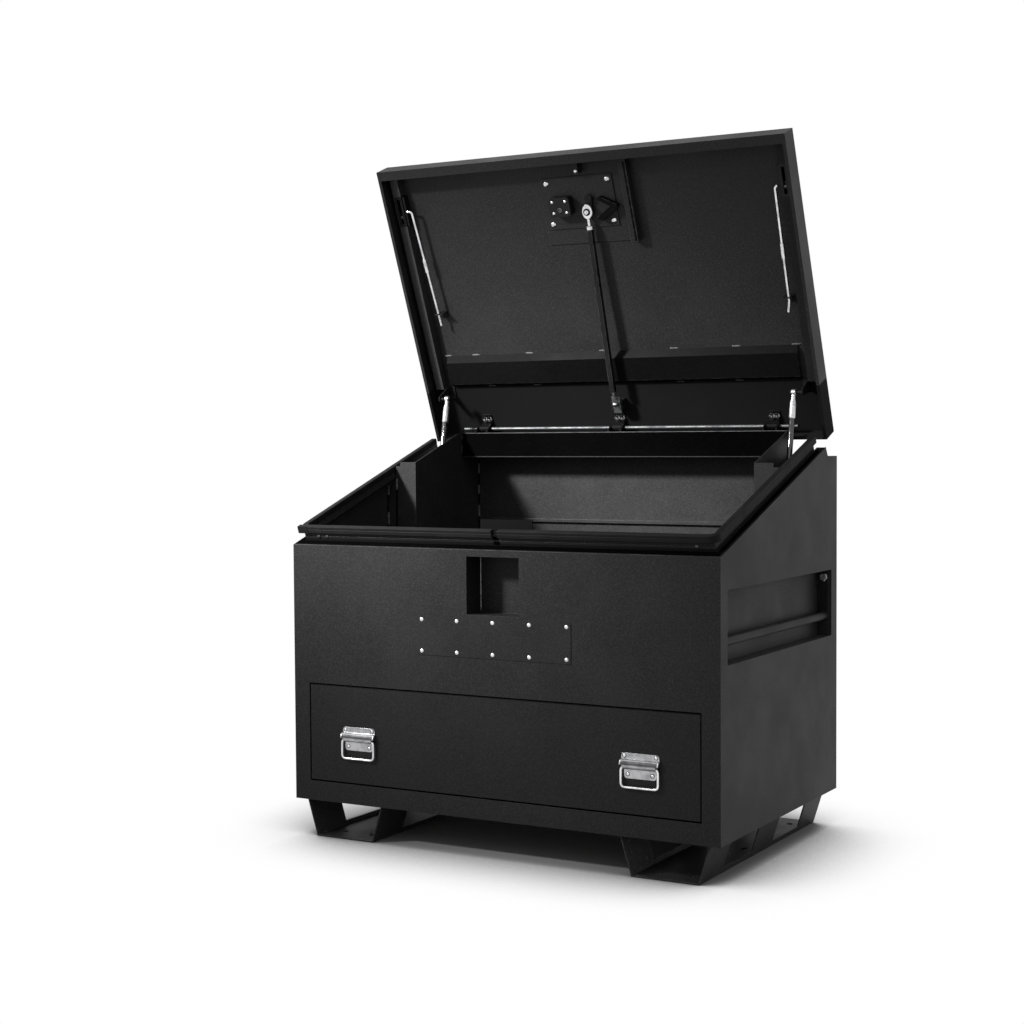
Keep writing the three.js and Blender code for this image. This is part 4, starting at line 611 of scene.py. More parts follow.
def screw_head(solid, place, axis, radius, rise):
    """A pan head with a cross cut in its crown."""
    along = Vector(axis).normalized()
    side = along.orthogonal().normalized()
    other = along.cross(side)
    head(solid, place, axis, rise, radius, SCREW_SHARES)
    crown = Vector(place) + along * (rise - CROSS_SINK)
    for long, short in ((side, other), (other, side)):
        reach = long * radius * CROSS_LENGTH
        half = short * radius * CROSS_WIDTH
        slab(solid, [crown + reach * x + half * y for x, y in SQUARE], along * CROSS_RISE)


chrome = plated(
    "bright_plate", grey(0.8, 0.81), grey(0.55, 0.57), roughness=0.2, spread=0.12, stain=0.3)
handle_plate = plated(
    "handle_plate", grey(0.46, 0.47), grey(0.28, 0.29), roughness=0.24, spread=0.14, stain=0.3)
dull_zinc = plated(
    "dull_zinc", (0.12, 0.121, 0.124, 1), (0.065, 0.066, 0.068, 1), roughness=0.42)
dark_plate = plated("dark_plate", grey(0.085, 0.087), grey(0.055, 0.056), roughness=0.4)
for side, centre in HANDLE_PLACES.items():
    band = bmesh.new()
    screws = bmesh.new()
    slab(band, [(centre - HOOD_HALF, y, z) for y, z in HOOD_BAND], (2 * HOOD_HALF, 0, 0))
    for across, height in HANDLE_SCREWS:
        place = (centre + across, DRAWER_FACE - HANDLE_PLATE_SHEET, height)
        turned(band, place, (0, -1, 0), WASHER_PROFILE)
        screw_head(screws, place, (0, -1, 0), SCREW_RADIUS, SCREW_RISE)
    fit(made(f"chest_hood_band_{side}", band), "drawer", dark_plate, "zinc")
    pressed(f"chest_plate_{side}", f"handle_plate_{side}", HANDLE_PLATE_SHEET, handle_plate,
            fold=0.3, edge=0.3)
    fit(made(f"chest_plate_screws_{side}", screws), "drawer", chrome, "zinc")
    wire = bmesh.new()
    pivot_y, pivot_z = BAIL_PIVOT
    tube(wire, bent([(centre + across, pivot_y, height) for across, height in (
        (-BAIL_INNER, pivot_z), (-BAIL_HALF, pivot_z), (-BAIL_HALF, BAIL_LOW),
        (BAIL_HALF, BAIL_LOW), (BAIL_HALF, pivot_z), (BAIL_INNER, pivot_z))], BAIL_BEND), BAIL_RADIUS)
    fit(made(f"wire_bail_{side}", wire), f"bail_{side}", chrome, "chrome", f"handle_bail_{side}")

# A long pocket is let into each side, and a round tube between two flat straps drops into it as
# a lifting handle. The straps turn on hex bolts through the ends of the pocket.
STRAP_SHEET = 0.004
POCKET_BOLT_X = 0.58
POCKET_BOLT_Z = 0.661
POCKET_BOLT_ENDS = ((-0.3335, 1), (0.3462, -1))
HEX_RADIUS = 0.0115
HEX_RISE = 0.0062
HEX_SHARES = ((0, 1), (0.8, 1), (1, 0.84), (1, 0))
HEX_CREASE = 25

handle_coat = powder_coat("handle_coat", grey(0.006, 0.0062), grey(0.01, 0.0103), rubbed=0.9)
for side, sign in SIDES:
    pressed(f"pocket_{side}", f"side_pocket_{side}", SHEET, side_lit_coat)
    pressed(f"drop_handle_bar_{side}", f"side_handle_{side}", STRAP_SHEET, handle_coat,
            fold=0.25, edge=0.25)
    heads = bmesh.new()
    for end, inward in POCKET_BOLT_ENDS:
        place = (sign * POCKET_BOLT_X, end, POCKET_BOLT_Z)
        head(heads, place, (0, inward, 0), HEX_RISE, HEX_RADIUS, HEX_SHARES, HEX_SIDES)
    fit(made(f"drop_handle_bolts_{side}", heads, HEX_CREASE), f"drop_handle_{side}", zinc, "zinc")

# The lock well is a sheet box let into the front behind the padlock's place, and its back runs
# up as the strike. Under it a bare thin plate is held by two rows of five domed rivets.
PLATE_SHEET = 0.0015
WELL_CORNER_LOW = (-0.0733, -0.3112, 0.602)
WELL_CORNER_TOP = (-0.0733, -0.3112, 0.737)
RIVET_PITCH = 0.1022
RIVET_ROWS = (0.503, 0.581)
RIVET_RADIUS = 0.0052
RIVET_RISE = 0.002
RIVET_SHARES = ((0, 1), (0.45, 0.9), (0.85, 0.6), (1, 0))
# Painted shade on the lock well box from 0.742 m up.
WELL_PAINTED_SHADE = [((0, 0, 1), 0.742, 0.747)]
BEAD_CREASE = 60
BEAD_PITCH = 0.0028
BEAD_SIDES = 10
BEAD_WANDER = 0.07
BEAD_SWELL = 0.42
BEAD_RIPPLE = 0.1
BEAD_UNEVEN = 0.06
BEAD_END = 0.2


def bead(solid, start, end, width, seed, pitch=BEAD_PITCH):
    """A weld bead laid in overlapping ripples along a line."""
    chance = random.Random(seed)
    start, end = Vector(start), Vector(end)
    count = max(3, int((end - start).length / pitch))
    points = []
    sizes = []
    for index in range(count + 1):
        wander = Vector([chance.uniform(-BEAD_WANDER, BEAD_WANDER) * width for _ in range(3)])
        points.append(start.lerp(end, index / count) + wander)
        swell = BEAD_SWELL + BEAD_RIPPLE * (index % 2) + chance.uniform(-BEAD_UNEVEN, BEAD_UNEVEN)
        sizes.append(width * (swell if 0 < index < count else BEAD_END))
    tube(solid, points, sizes, BEAD_SIDES)


well_coat = powder_coat("well_coat", BODY_TONE, BODY_CLOUD, rubbed=0.35, painted_shade=WELL_PAINTED_SHADE)
pressed("lock_well_box", "lock_well", SHEET, well_coat)
corner_weld = bmesh.new()
bead(corner_weld, WELL_CORNER_LOW, WELL_CORNER_TOP, width=0.0026, seed=51, pitch=0.004)
fit(made("lock_well_weld", corner_weld, BEAD_CREASE), "base", zinc, "black_coat")
pressed("front_plate", "name_plate", PLATE_SHEET, body_coat)
rivets = bmesh.new()
for column in range(-2, 3):
    for height in RIVET_ROWS:
        place = (column * RIVET_PITCH, DRAWER_FACE - PLATE_SHEET, height)
        head(rivets, place, (0, -1, 0), RIVET_RISE, RIVET_RADIUS, RIVET_SHARES, SMALL_SIDES)
bright_rivet = plated("bright_rivet", grey(0.72, 0.73), grey(0.5, 0.51), roughness=0.34)
fit(made("front_plate_rivets", rivets), "base", bright_rivet, "zinc")

# The rim is a gutter folded along the top of the front and sides, with an upright neck that
# carries a soft rubber seal. The seal has a fold along its outside and a slit for the striker. A
# beam closes the rear. Its ends are welded in, and studs and a seam show on the neck's front.
SLOPE_START = Vector((0, -0.3785, 0.758))
SLOPE_ALONG = Vector((0, 0.9421, 0.3355))
SLOPE_UP = Vector((0, -0.3355, 0.9421))
SEAL_X = 0.58
SEAL_ALONG = 0.03
SEAL_END = 0.6985
SEAL_ABOVE = 0.03315
SEAL_TURN = 0.018
SEAL_STEPS = 8
SEAL_SLIT = (-0.0095, 0.0075)
SEAL_CREASE = 14
SEAL_PROFILE = (
    (-0.008, -0.0064), (-0.0066, -0.0078), (0.004, -0.0078), (0.0046, -0.0112), (0.0068, -0.0114),
    (0.008, -0.01), (0.008, -0.0014), (0.0073, -0.0006), (0.0073, 0.0004), (0.008, 0.0012),
    (0.008, 0.006), (0.0072, 0.0074), (0.004, 0.0078), (-0.004, 0.0078), (-0.0066, 0.0074),
    (-0.008, 0.0058))
BLOCK_ENDS = (-0.5925, -0.56)
BLOCK_SKIRT = (-0.008, -0.0046, -0.0112, 0.0186)
BLOCK_TOP = (-0.0046, 0.006, 0.003, 0.0044)
SLIT_SHADE_SPAN = (0.003, 0.0252)
SLIT_SHADE_SHEET = 0.0005
GUTTER_X = (0.5832, 0.5945)
GUTTER_ALONG = (0.0045, 0.0272)
GUTTER_ABOVE = 0.0001
GUTTER_SHEET = 0.0006
NECK_FRONT = 0.0277
NECK_SEAM_ABOVE = 0.0125
NECK_SEAM_HALF = 0.545
NECK_STUDS = (-0.534, -0.508, 0.532)
STUD_PROFILE = ((0, 0.0046), (0.001, 0.0044), (0.0018, 0.003), (0.0021, 0))
BEAM_EDGE_HALF = 0.5035
BEAM_EDGE_OUTLINE = ((0.2966, 1.044), (0.2984, 1.044), (0.2984, 1.0458), (0.2966, 1.0458))
BEAM_WELD_Y = 0.2955
BEAM_WELDS = ((0.985, 1.012, 21), (1.024, 1.04, 31))
RUBBER_TONE = grey(0.006, 0.0061)
RUBBER_CHALK = grey(0.014, 0.0142)
RUBBER_GLOSS = 0.12


def on_slope(across, along, above):
    """A point over the sloping rim, from the middle, up the slope and square to it."""
    return Vector((across, 0, 0)) + SLOPE_START + SLOPE_ALONG * along + SLOPE_UP * above


def strip(solid, ends, span, above, rise):
    """A rectangle laid on the slope, from its ends, its span up the slope and its two heights."""
    corners = ((ends[0], span[0]), (ends[1], span[0]), (ends[1], span[1]), (ends[0], span[1]))
    slab(solid, [on_slope(across, along, above) for across, along in corners], SLOPE_UP * rise)


seal_rubber, shade = start_material("seal_rubber")
chalk = grain(shade, waves=16, detail=4, roughness=0.6).span(0.42, 0.78)
pores = grain(shade, waves=700)
end_material(shade, {
    "Base Color": chalk.blend(RUBBER_TONE, RUBBER_CHALK),
    "Roughness": chalk.span(0, 1, 0.6, 0.74) + pores * 0.08,
    "Normal": relief(shade, pores + chalk * 0.3, strength=0.3, depth=0.0003),
    "Specular IOR Level": RUBBER_GLOSS})
seal = bmesh.new()
for sign, slit_end in ((-1, SEAL_SLIT[0]), (1, SEAL_SLIT[1])):
    path = [(sign * SEAL_X, SEAL_END - SEAL_TURN * 0.1, 0.0), (sign * SEAL_X, SEAL_END * 0.5, 0.0)]
    for step in range(SEAL_STEPS + 1):
        turn = math.pi / 2 * step / SEAL_STEPS
        path.append((sign * (SEAL_X - SEAL_TURN * (1 - math.cos(turn))),
                     SEAL_ALONG + SEAL_TURN * (1 - math.sin(turn)), turn))
    path.append((slit_end, SEAL_ALONG, math.pi / 2))
    rings = []
    for across, along, turn in path:
        outward = (sign * math.cos(turn), -math.sin(turn))
        spots = [(across + out * outward[0], along + out * outward[1], SEAL_ABOVE + up)
                 for out, up in SEAL_PROFILE]
        rings.append([seal.verts.new(on_slope(*spot)) for spot in spots])
    skin(seal, rings)
for near, far, above, rise in (BLOCK_SKIRT, BLOCK_TOP):
    strip(seal, BLOCK_ENDS, (SEAL_ALONG + near, SEAL_ALONG + far), SEAL_ABOVE + above, rise)
fit(made("seal_strip", seal, SEAL_CREASE), "base", seal_rubber, "black_rubber", "rim_seal")
# A near-black sheet on the neck's front below the slit paints the slit's shadow.
slit_shade = bmesh.new()
(slit_left, slit_right), (shade_low, shade_top) = SEAL_SLIT, SLIT_SHADE_SPAN
slab(slit_shade, [on_slope(across, NECK_FRONT, above) for across, above in (
    (slit_left, shade_low), (slit_right, shade_low), (slit_right, shade_top),
    (slit_left, shade_top))], SLOPE_ALONG * -SLIT_SHADE_SHEET)
# A near-black copy of the coat with no sheen, as painted shade on the rear beam, the guards' corners and
# the sheets in the rim's slit and gutter.
black_shade_coat = powder_coat(
    "black_shade_coat", grey(0.001, 0.001), grey(0.0016, 0.0016), rubbed=0.2, gloss=0.0)
fit(made("seal_slit_shade", slit_shade), "base", black_shade_coat, "black_rubber")
# Near-black sheets laid along the gutter's floor paint the shade in it.
gutter = bmesh.new()
for ends, span in (((-GUTTER_X[1], GUTTER_X[1]), GUTTER_ALONG),
                   ((-GUTTER_X[0], -GUTTER_X[1]), (GUTTER_ALONG[1], SEAL_END)),
                   (GUTTER_X, (GUTTER_ALONG[1], SEAL_END))):
    strip(gutter, ends, span, GUTTER_ABOVE, GUTTER_SHEET)
fit(made("rim_gutter_shade", gutter), "base", black_shade_coat, "black_rubber")
pressed("rear_beam", "rear_rim", SHEET, black_shade_coat)
# A bright plated strip along the beam's top edge paints its highlight and rubbed wear.
edge_highlight = bmesh.new()
slab(edge_highlight, [(-BEAM_EDGE_HALF, y, z) for y, z in BEAM_EDGE_OUTLINE], (2 * BEAM_EDGE_HALF, 0, 0))
fit(made("beam_edge_highlight", edge_highlight), "base", dark_plate, "zinc")
seams = bmesh.new()
bead(seams, on_slope(-NECK_SEAM_HALF, NECK_FRONT, NECK_SEAM_ABOVE),
     on_slope(NECK_SEAM_HALF, NECK_FRONT, NECK_SEAM_ABOVE), width=0.0016, seed=11, pitch=0.01)
studs = bmesh.new()
for across in NECK_STUDS:
    turned(studs, on_slope(across, NECK_FRONT, NECK_SEAM_ABOVE), -SLOPE_ALONG, STUD_PROFILE, SMALL_SIDES)
fit(made("neck_studs", studs), "base", dull_zinc, "zinc")
for sign in (-1, 1):
    for low, top, seed in BEAM_WELDS:
        bead(seams, (sign * BEAM_EDGE_HALF, BEAM_WELD_Y, low), (sign * BEAM_EDGE_HALF, BEAM_WELD_Y, top),
             width=0.005, seed=seed + sign)
weld_coat = powder_coat("weld_coat", grey(0.012, 0.0122), grey(0.022, 0.0224), rubbed=0.8)
fit(made("rim_welds", seams, BEAD_CREASE), "base", weld_coat, "black_coat")

# A folded guard closes off each rear corner so that goods can't foul the gas struts. It is
# stitch welded to the side and to the rim.
GUARD_WELDS = (
    (0.567, 0.0515, 0.921, 0.885), (0.595, 0.0515, 0.906, 0.872), (0.595, 0.0515, 0.825, 0.788),
    (0.503, 0.3875, 0.96, 0.925), (0.503, 0.3875, 0.895, 0.865), (0.503, 0.3875, 0.835, 0.8))
GUARD_CORNER_SHADES = (
    (0.567, 0.0515, 0.921, 0.72), (0.5975, 0.0515, 0.906, 0.72), (0.503, 0.388, 0.968, 0.72))
CORNER_SHADE_RADIUS = 0.0022
CORNER_SHADE_SIDES = 8

bright_weld = powder_coat(
    "bright_weld", grey(0.04, 0.041), grey(0.08, 0.081), rubbed=0.8, gloss=0.5)
for side, sign in SIDES:
    pressed(f"strut_guard_plates_{side}", f"strut_guard_{side}", SHEET, inner_lit_coat)
    stitches = bmesh.new()
    for index, (x, y, top, bottom) in enumerate(GUARD_WELDS):
        bead(stitches, (sign * x, y, top), (sign * x, y, bottom), width=0.0066, seed=40 + index,
             pitch=0.0042)
    fit(made(f"strut_guard_welds_{side}", stitches, BEAD_CREASE), "base", bright_weld, "black_coat")
    # Near-black rods along the guard's corners paint the shade in them.
    corner_shades = bmesh.new()
    for x, y, top, bottom in GUARD_CORNER_SHADES:
        tube(corner_shades, [(sign * x, y, top), (sign * x, y, bottom)], CORNER_SHADE_RADIUS, CORNER_SHADE_SIDES)
    fit(made(f"strut_guard_corner_shades_{side}", corner_shades), "base", black_shade_coat, "black_coat")

# The lid turns on one long bright rod. Three short brackets on the rear beam hold the rod, and
# three ears bolted inside the lid turn on it between them.
HINGE_SHEET = 0.004

pressed("hinge_pin_rod", "hinge_rod", HINGE_SHEET, dull_zinc, fold=0.25, edge=0.25)
# A darker copy of the coat on the hinge's cheeks and ears, as painted shade.
hinge_shade_coat = powder_coat(
    "hinge_shade_coat", grey(0.0022, 0.0022), grey(0.0034, 0.0034), rubbed=0.5, gloss=0.06)
for place in ("left", "centre", "right"):
    pressed(f"hinge_cheeks_{place}", f"hinge_bracket_{place}", HINGE_SHEET, hinge_shade_coat, fold=0.2)
    pressed(f"hinge_ear_plate_{place}", f"hinge_ear_{place}", HINGE_SHEET, hinge_shade_coat, fold=0.2)

# The lid is a shallow pan with its edges turned in, stiffened by a channel along each side and
# a hat section across the rear, all stitch welded to the inside of the skin.
HINGE_AXIS = Vector((0, 0.333402, 1.057142))
LID_ALONG = Vector((0, -0.376224, 0.926529))
LID_IN = Vector((0, -0.926529, -0.376224))
HINGE_FORWARD = 0.026
HINGE_INWARD = 0.027
LID_SKIN = 0.0025
# Painted shade on the inside of the lid's rear strip, below the hat.
LID_PAINTED_SHADE = [(-LID_ALONG, -0.98, -0.977), (LID_IN, -0.73313, -0.73163)]
HINGE_BOLTS = (-0.454, -0.439, -0.0235, -0.0085, 0.4355, 0.4505)
HINGE_BOLT_FORWARD = 0.0475
HINGE_BOLT_INWARD = 0.0052
HINGE_BOLT_PROFILE = (
    (0, 0.0084), (0.001, 0.0084), (0.001, 0.0072), (0.0046, 0.0072), (0.0054, 0.0056),
    (0.0054, 0.0034), (0.0082, 0.0034), (0.009, 0.0026), (0.009, 0))
HAT_STITCHES = (
    ((-0.5335, -0.439, -0.264, -0.031, 0.184, 0.364, 0.5318), 0.2447, 0.013, 0.006, 60),
    ((-0.407, -0.259, 0.186, 0.358), 0.1503, 0.012, 0.005, 80))


def on_lid(across, forward, inward):
    """A point in the lid, from the middle, forward from its rear edge and in from its skin."""
    middle = HINGE_AXIS + LID_ALONG * (forward - HINGE_FORWARD) + LID_IN * (inward - HINGE_INWARD)
    return Vector((across, 0, 0)) + middle


bolts = bmesh.new()
for across in HINGE_BOLTS:
    place = on_lid(across, HINGE_BOLT_FORWARD, HINGE_BOLT_INWARD)
    turned(bolts, place, LID_IN, HINGE_BOLT_PROFILE, HEX_SIDES)
fit(made("hinge_bolts", bolts, HEX_CREASE), "lid", chrome, "zinc")
# A lighter copy of the coat on the lid and its lock plates, as painted light, with painted shade at the
# lid's rear.
lid_light_and_shade_coat = powder_coat(
    "lid_light_and_shade_coat", grey(0.0132, 0.0134), grey(0.0188, 0.0191), rubbed=0.6, gloss=0.22,
    painted_shade=LID_PAINTED_SHADE)
# A lighter, glossier copy of the coat, as painted light on the left channel.
channel_lit_coat = powder_coat(
    "channel_lit_coat", grey(0.02, 0.0204), grey(0.028, 0.0285), gloss=0.45)
pressed("lid_shell", "lid_pan", SHEET, lid_light_and_shade_coat)
# The left channel takes the lighter copy as painted light, the right one the darker body coat as painted
# shade.
for side, coat in (("left", channel_lit_coat), ("right", body_coat)):
    pressed(f"lid_seal_channel_{side}", f"lid_channel_{side}", SHEET, coat)
# A darker copy of the coat on the hat section, as painted shade.
hat_shade_coat = powder_coat(
    "hat_shade_coat", grey(0.0026, 0.0026), grey(0.0038, 0.0038), rubbed=0.3, gloss=0.05)
pressed("lid_hat_section", "cross_member", SHEET, hat_shade_coat)
stitches = bmesh.new()
for places, forward, half, width, seed in HAT_STITCHES:
    for index, across in enumerate(places):
        bead(stitches, on_lid(across - half, forward, LID_SKIN), on_lid(across + half, forward, LID_SKIN),
             width, seed + index)
fit(made("lid_stitches", stitches, BEAD_CREASE), "lid", bright_weld, "black_coat")

# The lock sits in the middle of the lid's front: a backing plate and a folded guide on the skin,
# a plate with four screws, the lock's plastic body, and a stop for the handle's crank.
LOCK_SHEET = 0.003
STOP_OUTLINE = (
    (0.046, 0.6755), (0.056, 0.6755), (0.0985, 0.654), (0.0985, 0.645), (0.05, 0.6105),
    (0.037, 0.6165), (0.037, 0.622), (0.078, 0.6495), (0.046, 0.668))
STOP_INWARD = 0.0095
STOP_HEIGHT = 0.0167
STOP_SHEET = 0.002
LOCK_FACE = 0.0088
LOCK_SCREW_RADIUS = 0.0074
LOCK_SCREW_RISE = 0.0044
LOCK_SCREWS = ((-0.106, 0.6075), (0.076, 0.6075), (-0.106, 0.7185), (0.076, 0.7185))
LOCK_BODY_TOP = 0.035
CASE_SCREWS = ((-0.084, 0.6435), (-0.045, 0.6435), (-0.084, 0.6735), (-0.045, 0.6735))
KEY_PLACE = (-0.0645, 0.651)
KEY_RADIUS = 0.0068
KEY_PROFILE = (
    (0, KEY_RADIUS), (0.0011, KEY_RADIUS), (0.0016, KEY_RADIUS * 0.85), (0.0016, KEY_RADIUS * 0.68),
    (0.0003, KEY_RADIUS * 0.62), (0.0003, 0))
KEYHOLE_HALF = (0.001, 0.0026)
KEYHOLE_RISE = 0.0012
CASE_SCREW_PROFILE = ((0, 0.004), (0.001, 0.0038), (0.0018, 0.0026), (0.0021, 0))
GUIDE_SEAM_X = 0.1385
GUIDE_SEAM_INWARD = 0.0262
GUIDE_SPAN = (0.552, 0.766)
GUIDE_STITCHES = 7
GUIDE_STITCH_SHARE = 0.97
STRIKER_RIVET = (-0.001, 0.75, 0.028)
STRIKER_PROFILE = ((0, 0.0052), (0.0012, 0.0048), (0.0024, 0.0028), (0.0027, 0))
PLASTIC_TOUCHED = grey(0.009, 0.0092)
PLASTIC_GLOSS = 0.2

pressed("lock_backing", "backing_plate", LOCK_SHEET, lid_light_and_shade_coat, fold=0.2)
pressed("lock_guide_channel", "lock_guide", SHEET, lid_light_and_shade_coat)
pressed("lock_mounting_plate", "lock_plate", LOCK_SHEET, lid_light_and_shade_coat, fold=0.2)
stop_coat = powder_coat(
    "stop_coat", grey(0.002, 0.002), grey(0.003, 0.003), rubbed=0.9, gloss=0.06)
stop = bmesh.new()
slab(stop, [on_lid(*corner, STOP_INWARD) for corner in STOP_OUTLINE], LID_IN * STOP_HEIGHT)
stop_bracket = made("crank_stop", stop)
soften(stop_bracket, STOP_SHEET, fold=0.4, edge=0.4)
fit(stop_bracket, "lid", stop_coat, "black_coat", "lever_stop")
pressed("striker_blade", "striker", LOCK_SHEET, lid_light_and_shade_coat, fold=0.25, edge=0.25)
pressed("rear_bolt_guide", "bolt_guide", LOCK_SHEET, handle_coat, fold=0.3)


def moulded(name, tone):
    """Black moulded plastic with a fine spark-eroded texture, polished where it is touched."""
    material, shade = start_material(name)
    pits = grain(shade, waves=900, roughness=0.6)
    touched = grain(shade, waves=30, detail=3, roughness=0.6).span(0.4, 0.75)
    end_material(shade, {
        "Base Color": touched.blend(tone, PLASTIC_TOUCHED),
        "Roughness": touched.span(0, 1, 0.44, 0.3) + pits * 0.08,
        "Normal": relief(shade, pits, strength=0.25, depth=0.0002),
        "Specular IOR Level": PLASTIC_GLOSS})
    return material


black_plastic = moulded("lock_plastic", grey(0.004, 0.0041))
case_plastic = moulded("case_plastic", grey(0.01, 0.0102))
pressed("lock_case", "lock_body", LOCK_SHEET, case_plastic, fold=0.3, edge=0.3)
screws = bmesh.new()
for place in LOCK_SCREWS:
    screw_head(screws, on_lid(*place, LOCK_FACE), LID_IN, LOCK_SCREW_RADIUS, LOCK_SCREW_RISE)
turned(screws, on_lid(*STRIKER_RIVET), LID_IN, STRIKER_PROFILE, sides=18)
fit(made("lock_screws", screws), "lid", chrome, "zinc")
key_ring = bmesh.new()
key_across, key_forward = KEY_PLACE
turned(key_ring, on_lid(key_across, key_forward, LOCK_BODY_TOP), LID_IN, KEY_PROFILE, FINE_SIDES)
slot = [(key_across + x * KEYHOLE_HALF[0], key_forward + y * KEYHOLE_HALF[1]) for x, y in SQUARE]
slab(key_ring, [on_lid(*spot, LOCK_BODY_TOP) for spot in slot], LID_IN * KEYHOLE_RISE)
fit(made("lock_key_ring", key_ring), "lid", dull_zinc, "zinc")
case_screws = bmesh.new()
for place in CASE_SCREWS:
    turned(case_screws, on_lid(*place, LOCK_BODY_TOP), LID_IN, CASE_SCREW_PROFILE, SMALL_SIDES)
fit(made("lock_case_screws", case_screws), "lid", chrome, "zinc")
seam = bmesh.new()
rear, front = GUIDE_SPAN
for index in range(GUIDE_STITCHES):
    start = rear + (front - rear) * index / GUIDE_STITCHES
    end = start + (front - rear) / GUIDE_STITCHES * GUIDE_STITCH_SHARE
    bead(seam, on_lid(GUIDE_SEAM_X, start, GUIDE_SEAM_INWARD), on_lid(GUIDE_SEAM_X, end, GUIDE_SEAM_INWARD),
         width=0.0045, seed=90 + index, pitch=0.003)
fit(made("lock_guide_weld", seam, BEAD_CREASE), "lid", shaded_coat, "black_coat")

# The handle outside turns a spindle with a crank. A square rod hangs from the crank's pin by a
# bright eye and a lock nut, and its ball end throws the rear bolt.
HANDLE_SHEET = 0.004
PIN_PLACE = (0.0097, 0.6386)
ROD_DEPTH = 0.0224
ROD_END = (-0.005, 0.1, 0.04)
EYE_WIDTH = 0.01
EYE_RADIUS = 0.015
EYE_HOLE = 0.0053
EYE_STEPS = 28
EYE_STRETCH = 0.36
EYE_POINT = 3
EYE_PROFILE = (
    (EYE_HOLE, -0.5), (EYE_HOLE, 0.5), (EYE_RADIUS * 0.9, 0.5), (EYE_RADIUS, 0.32),
    (EYE_RADIUS, -0.32), (EYE_RADIUS * 0.9, -0.5))
ROD_TUBE_HALF = 0.007
ROD_TUBE_SHEET = 0.002
ROD_SPAN = (0.136, 0.5898)
ROD_STUDS = ((0.6225, 0.586), (0.14, 0.1045))
NUT_SPAN = (0.59, 0.6008)
NUT_RADIUS = 0.0081
NUT_CHAMFER = 0.001
NUT_FACE = 0.85
STUD_RADIUS = 0.0045
BALL_RADIUS = 0.0075
BALL_STEPS = 12
PIN_RADIUS = 0.007
PIN_INWARD = 0.0277
PIN_PROFILE = (
    (0, PIN_RADIUS), (0.0032, PIN_RADIUS), (0.0044, PIN_RADIUS * 0.82), (0.0044, PIN_RADIUS * 0.5),
    (0.0066, PIN_RADIUS * 0.46), (0.0066, 0))
PIN_WASHER_INWARD = 0.0276
PIN_WASHER_PROFILE = ((0, 0.0098), (0.0009, 0.0098), (0.0009, 0))

pressed("lock_crank_and_handle", "lock_handle", HANDLE_SHEET, handle_coat, fold=0.2)
pin_head = bmesh.new()
turned(pin_head, on_lid(*PIN_PLACE, PIN_INWARD), LID_IN, PIN_PROFILE, HEX_SIDES)
fit(made("crank_pin_head", pin_head, HEX_CREASE), "lock_lever", chrome, "zinc")
washer = bmesh.new()
turned(washer, on_lid(*PIN_PLACE, PIN_WASHER_INWARD), LID_IN, PIN_WASHER_PROFILE, FINE_SIDES)
fit(made("crank_pin_washer", washer), "lock_lever", seal_rubber, "black_rubber")
rod_top = on_lid(*PIN_PLACE, ROD_DEPTH)
rod_low = on_lid(*ROD_END)


def on_rod(forward):
    """A point on the push rod's middle line, by how far forward it lies in the lid."""
    return rod_top.lerp(rod_low, (PIN_PLACE[1] - forward) / (PIN_PLACE[1] - ROD_END[1]))


rod_way = (rod_low - rod_top).normalized()
rod_side = rod_way.cross(LID_IN).normalized()
rod_face = rod_side.cross(rod_way).normalized()
bar = bmesh.new()
bar_start = on_rod(ROD_SPAN[1])
slab(bar, [bar_start + rod_side * x * ROD_TUBE_HALF + rod_face * y * ROD_TUBE_HALF for x, y in SQUARE],
     on_rod(ROD_SPAN[0]) - bar_start)
rod_tube = made("push_rod_tube", bar)
soften(rod_tube, ROD_TUBE_SHEET, fold=0.7, edge=0.5)
fit(rod_tube, "lock_rod", handle_coat, "black_coat", "push_rod")
ends = bmesh.new()
eye_rings = []
for radius, depth in EYE_PROFILE:
    ring = []
    for index in range(EYE_STEPS):
        turn = 2 * math.pi * index / EYE_STEPS
        reach = radius
        if radius > EYE_HOLE:
            reach = radius * (1 + EYE_STRETCH * abs(math.cos(turn)) ** EYE_POINT)
        outward = rod_way * math.cos(turn) + rod_side * math.sin(turn)
        ring.append(ends.verts.new(rod_top + outward * reach + LID_IN * EYE_WIDTH * depth))
    eye_rings.append(ring)
skin(ends, eye_rings, closed=True)
for top, low in ROD_STUDS:
    tube(ends, [on_rod(top), on_rod(low)], STUD_RADIUS)
nut_length = NUT_SPAN[1] - NUT_SPAN[0]
turned(ends, on_rod(NUT_SPAN[1]), rod_way, (
    (0, NUT_RADIUS * NUT_FACE), (NUT_CHAMFER, NUT_RADIUS), (nut_length - NUT_CHAMFER, NUT_RADIUS),
    (nut_length, NUT_RADIUS * NUT_FACE)), HEX_SIDES)
arc = [math.pi * index / BALL_STEPS for index in range(BALL_STEPS + 1)]
turned(ends, rod_low - rod_way * BALL_RADIUS, rod_way, [
    (BALL_RADIUS * (1 - math.cos(turn)), BALL_RADIUS * math.sin(turn)) for turn in arc])
fit(made("push_rod_ends", ends), "lock_rod", chrome, "black_coat", "push_rod")
pressed("rear_bolt_bar", "rear_bolt", LOCK_SHEET, zinc, fold=0.3, edge=0.3)

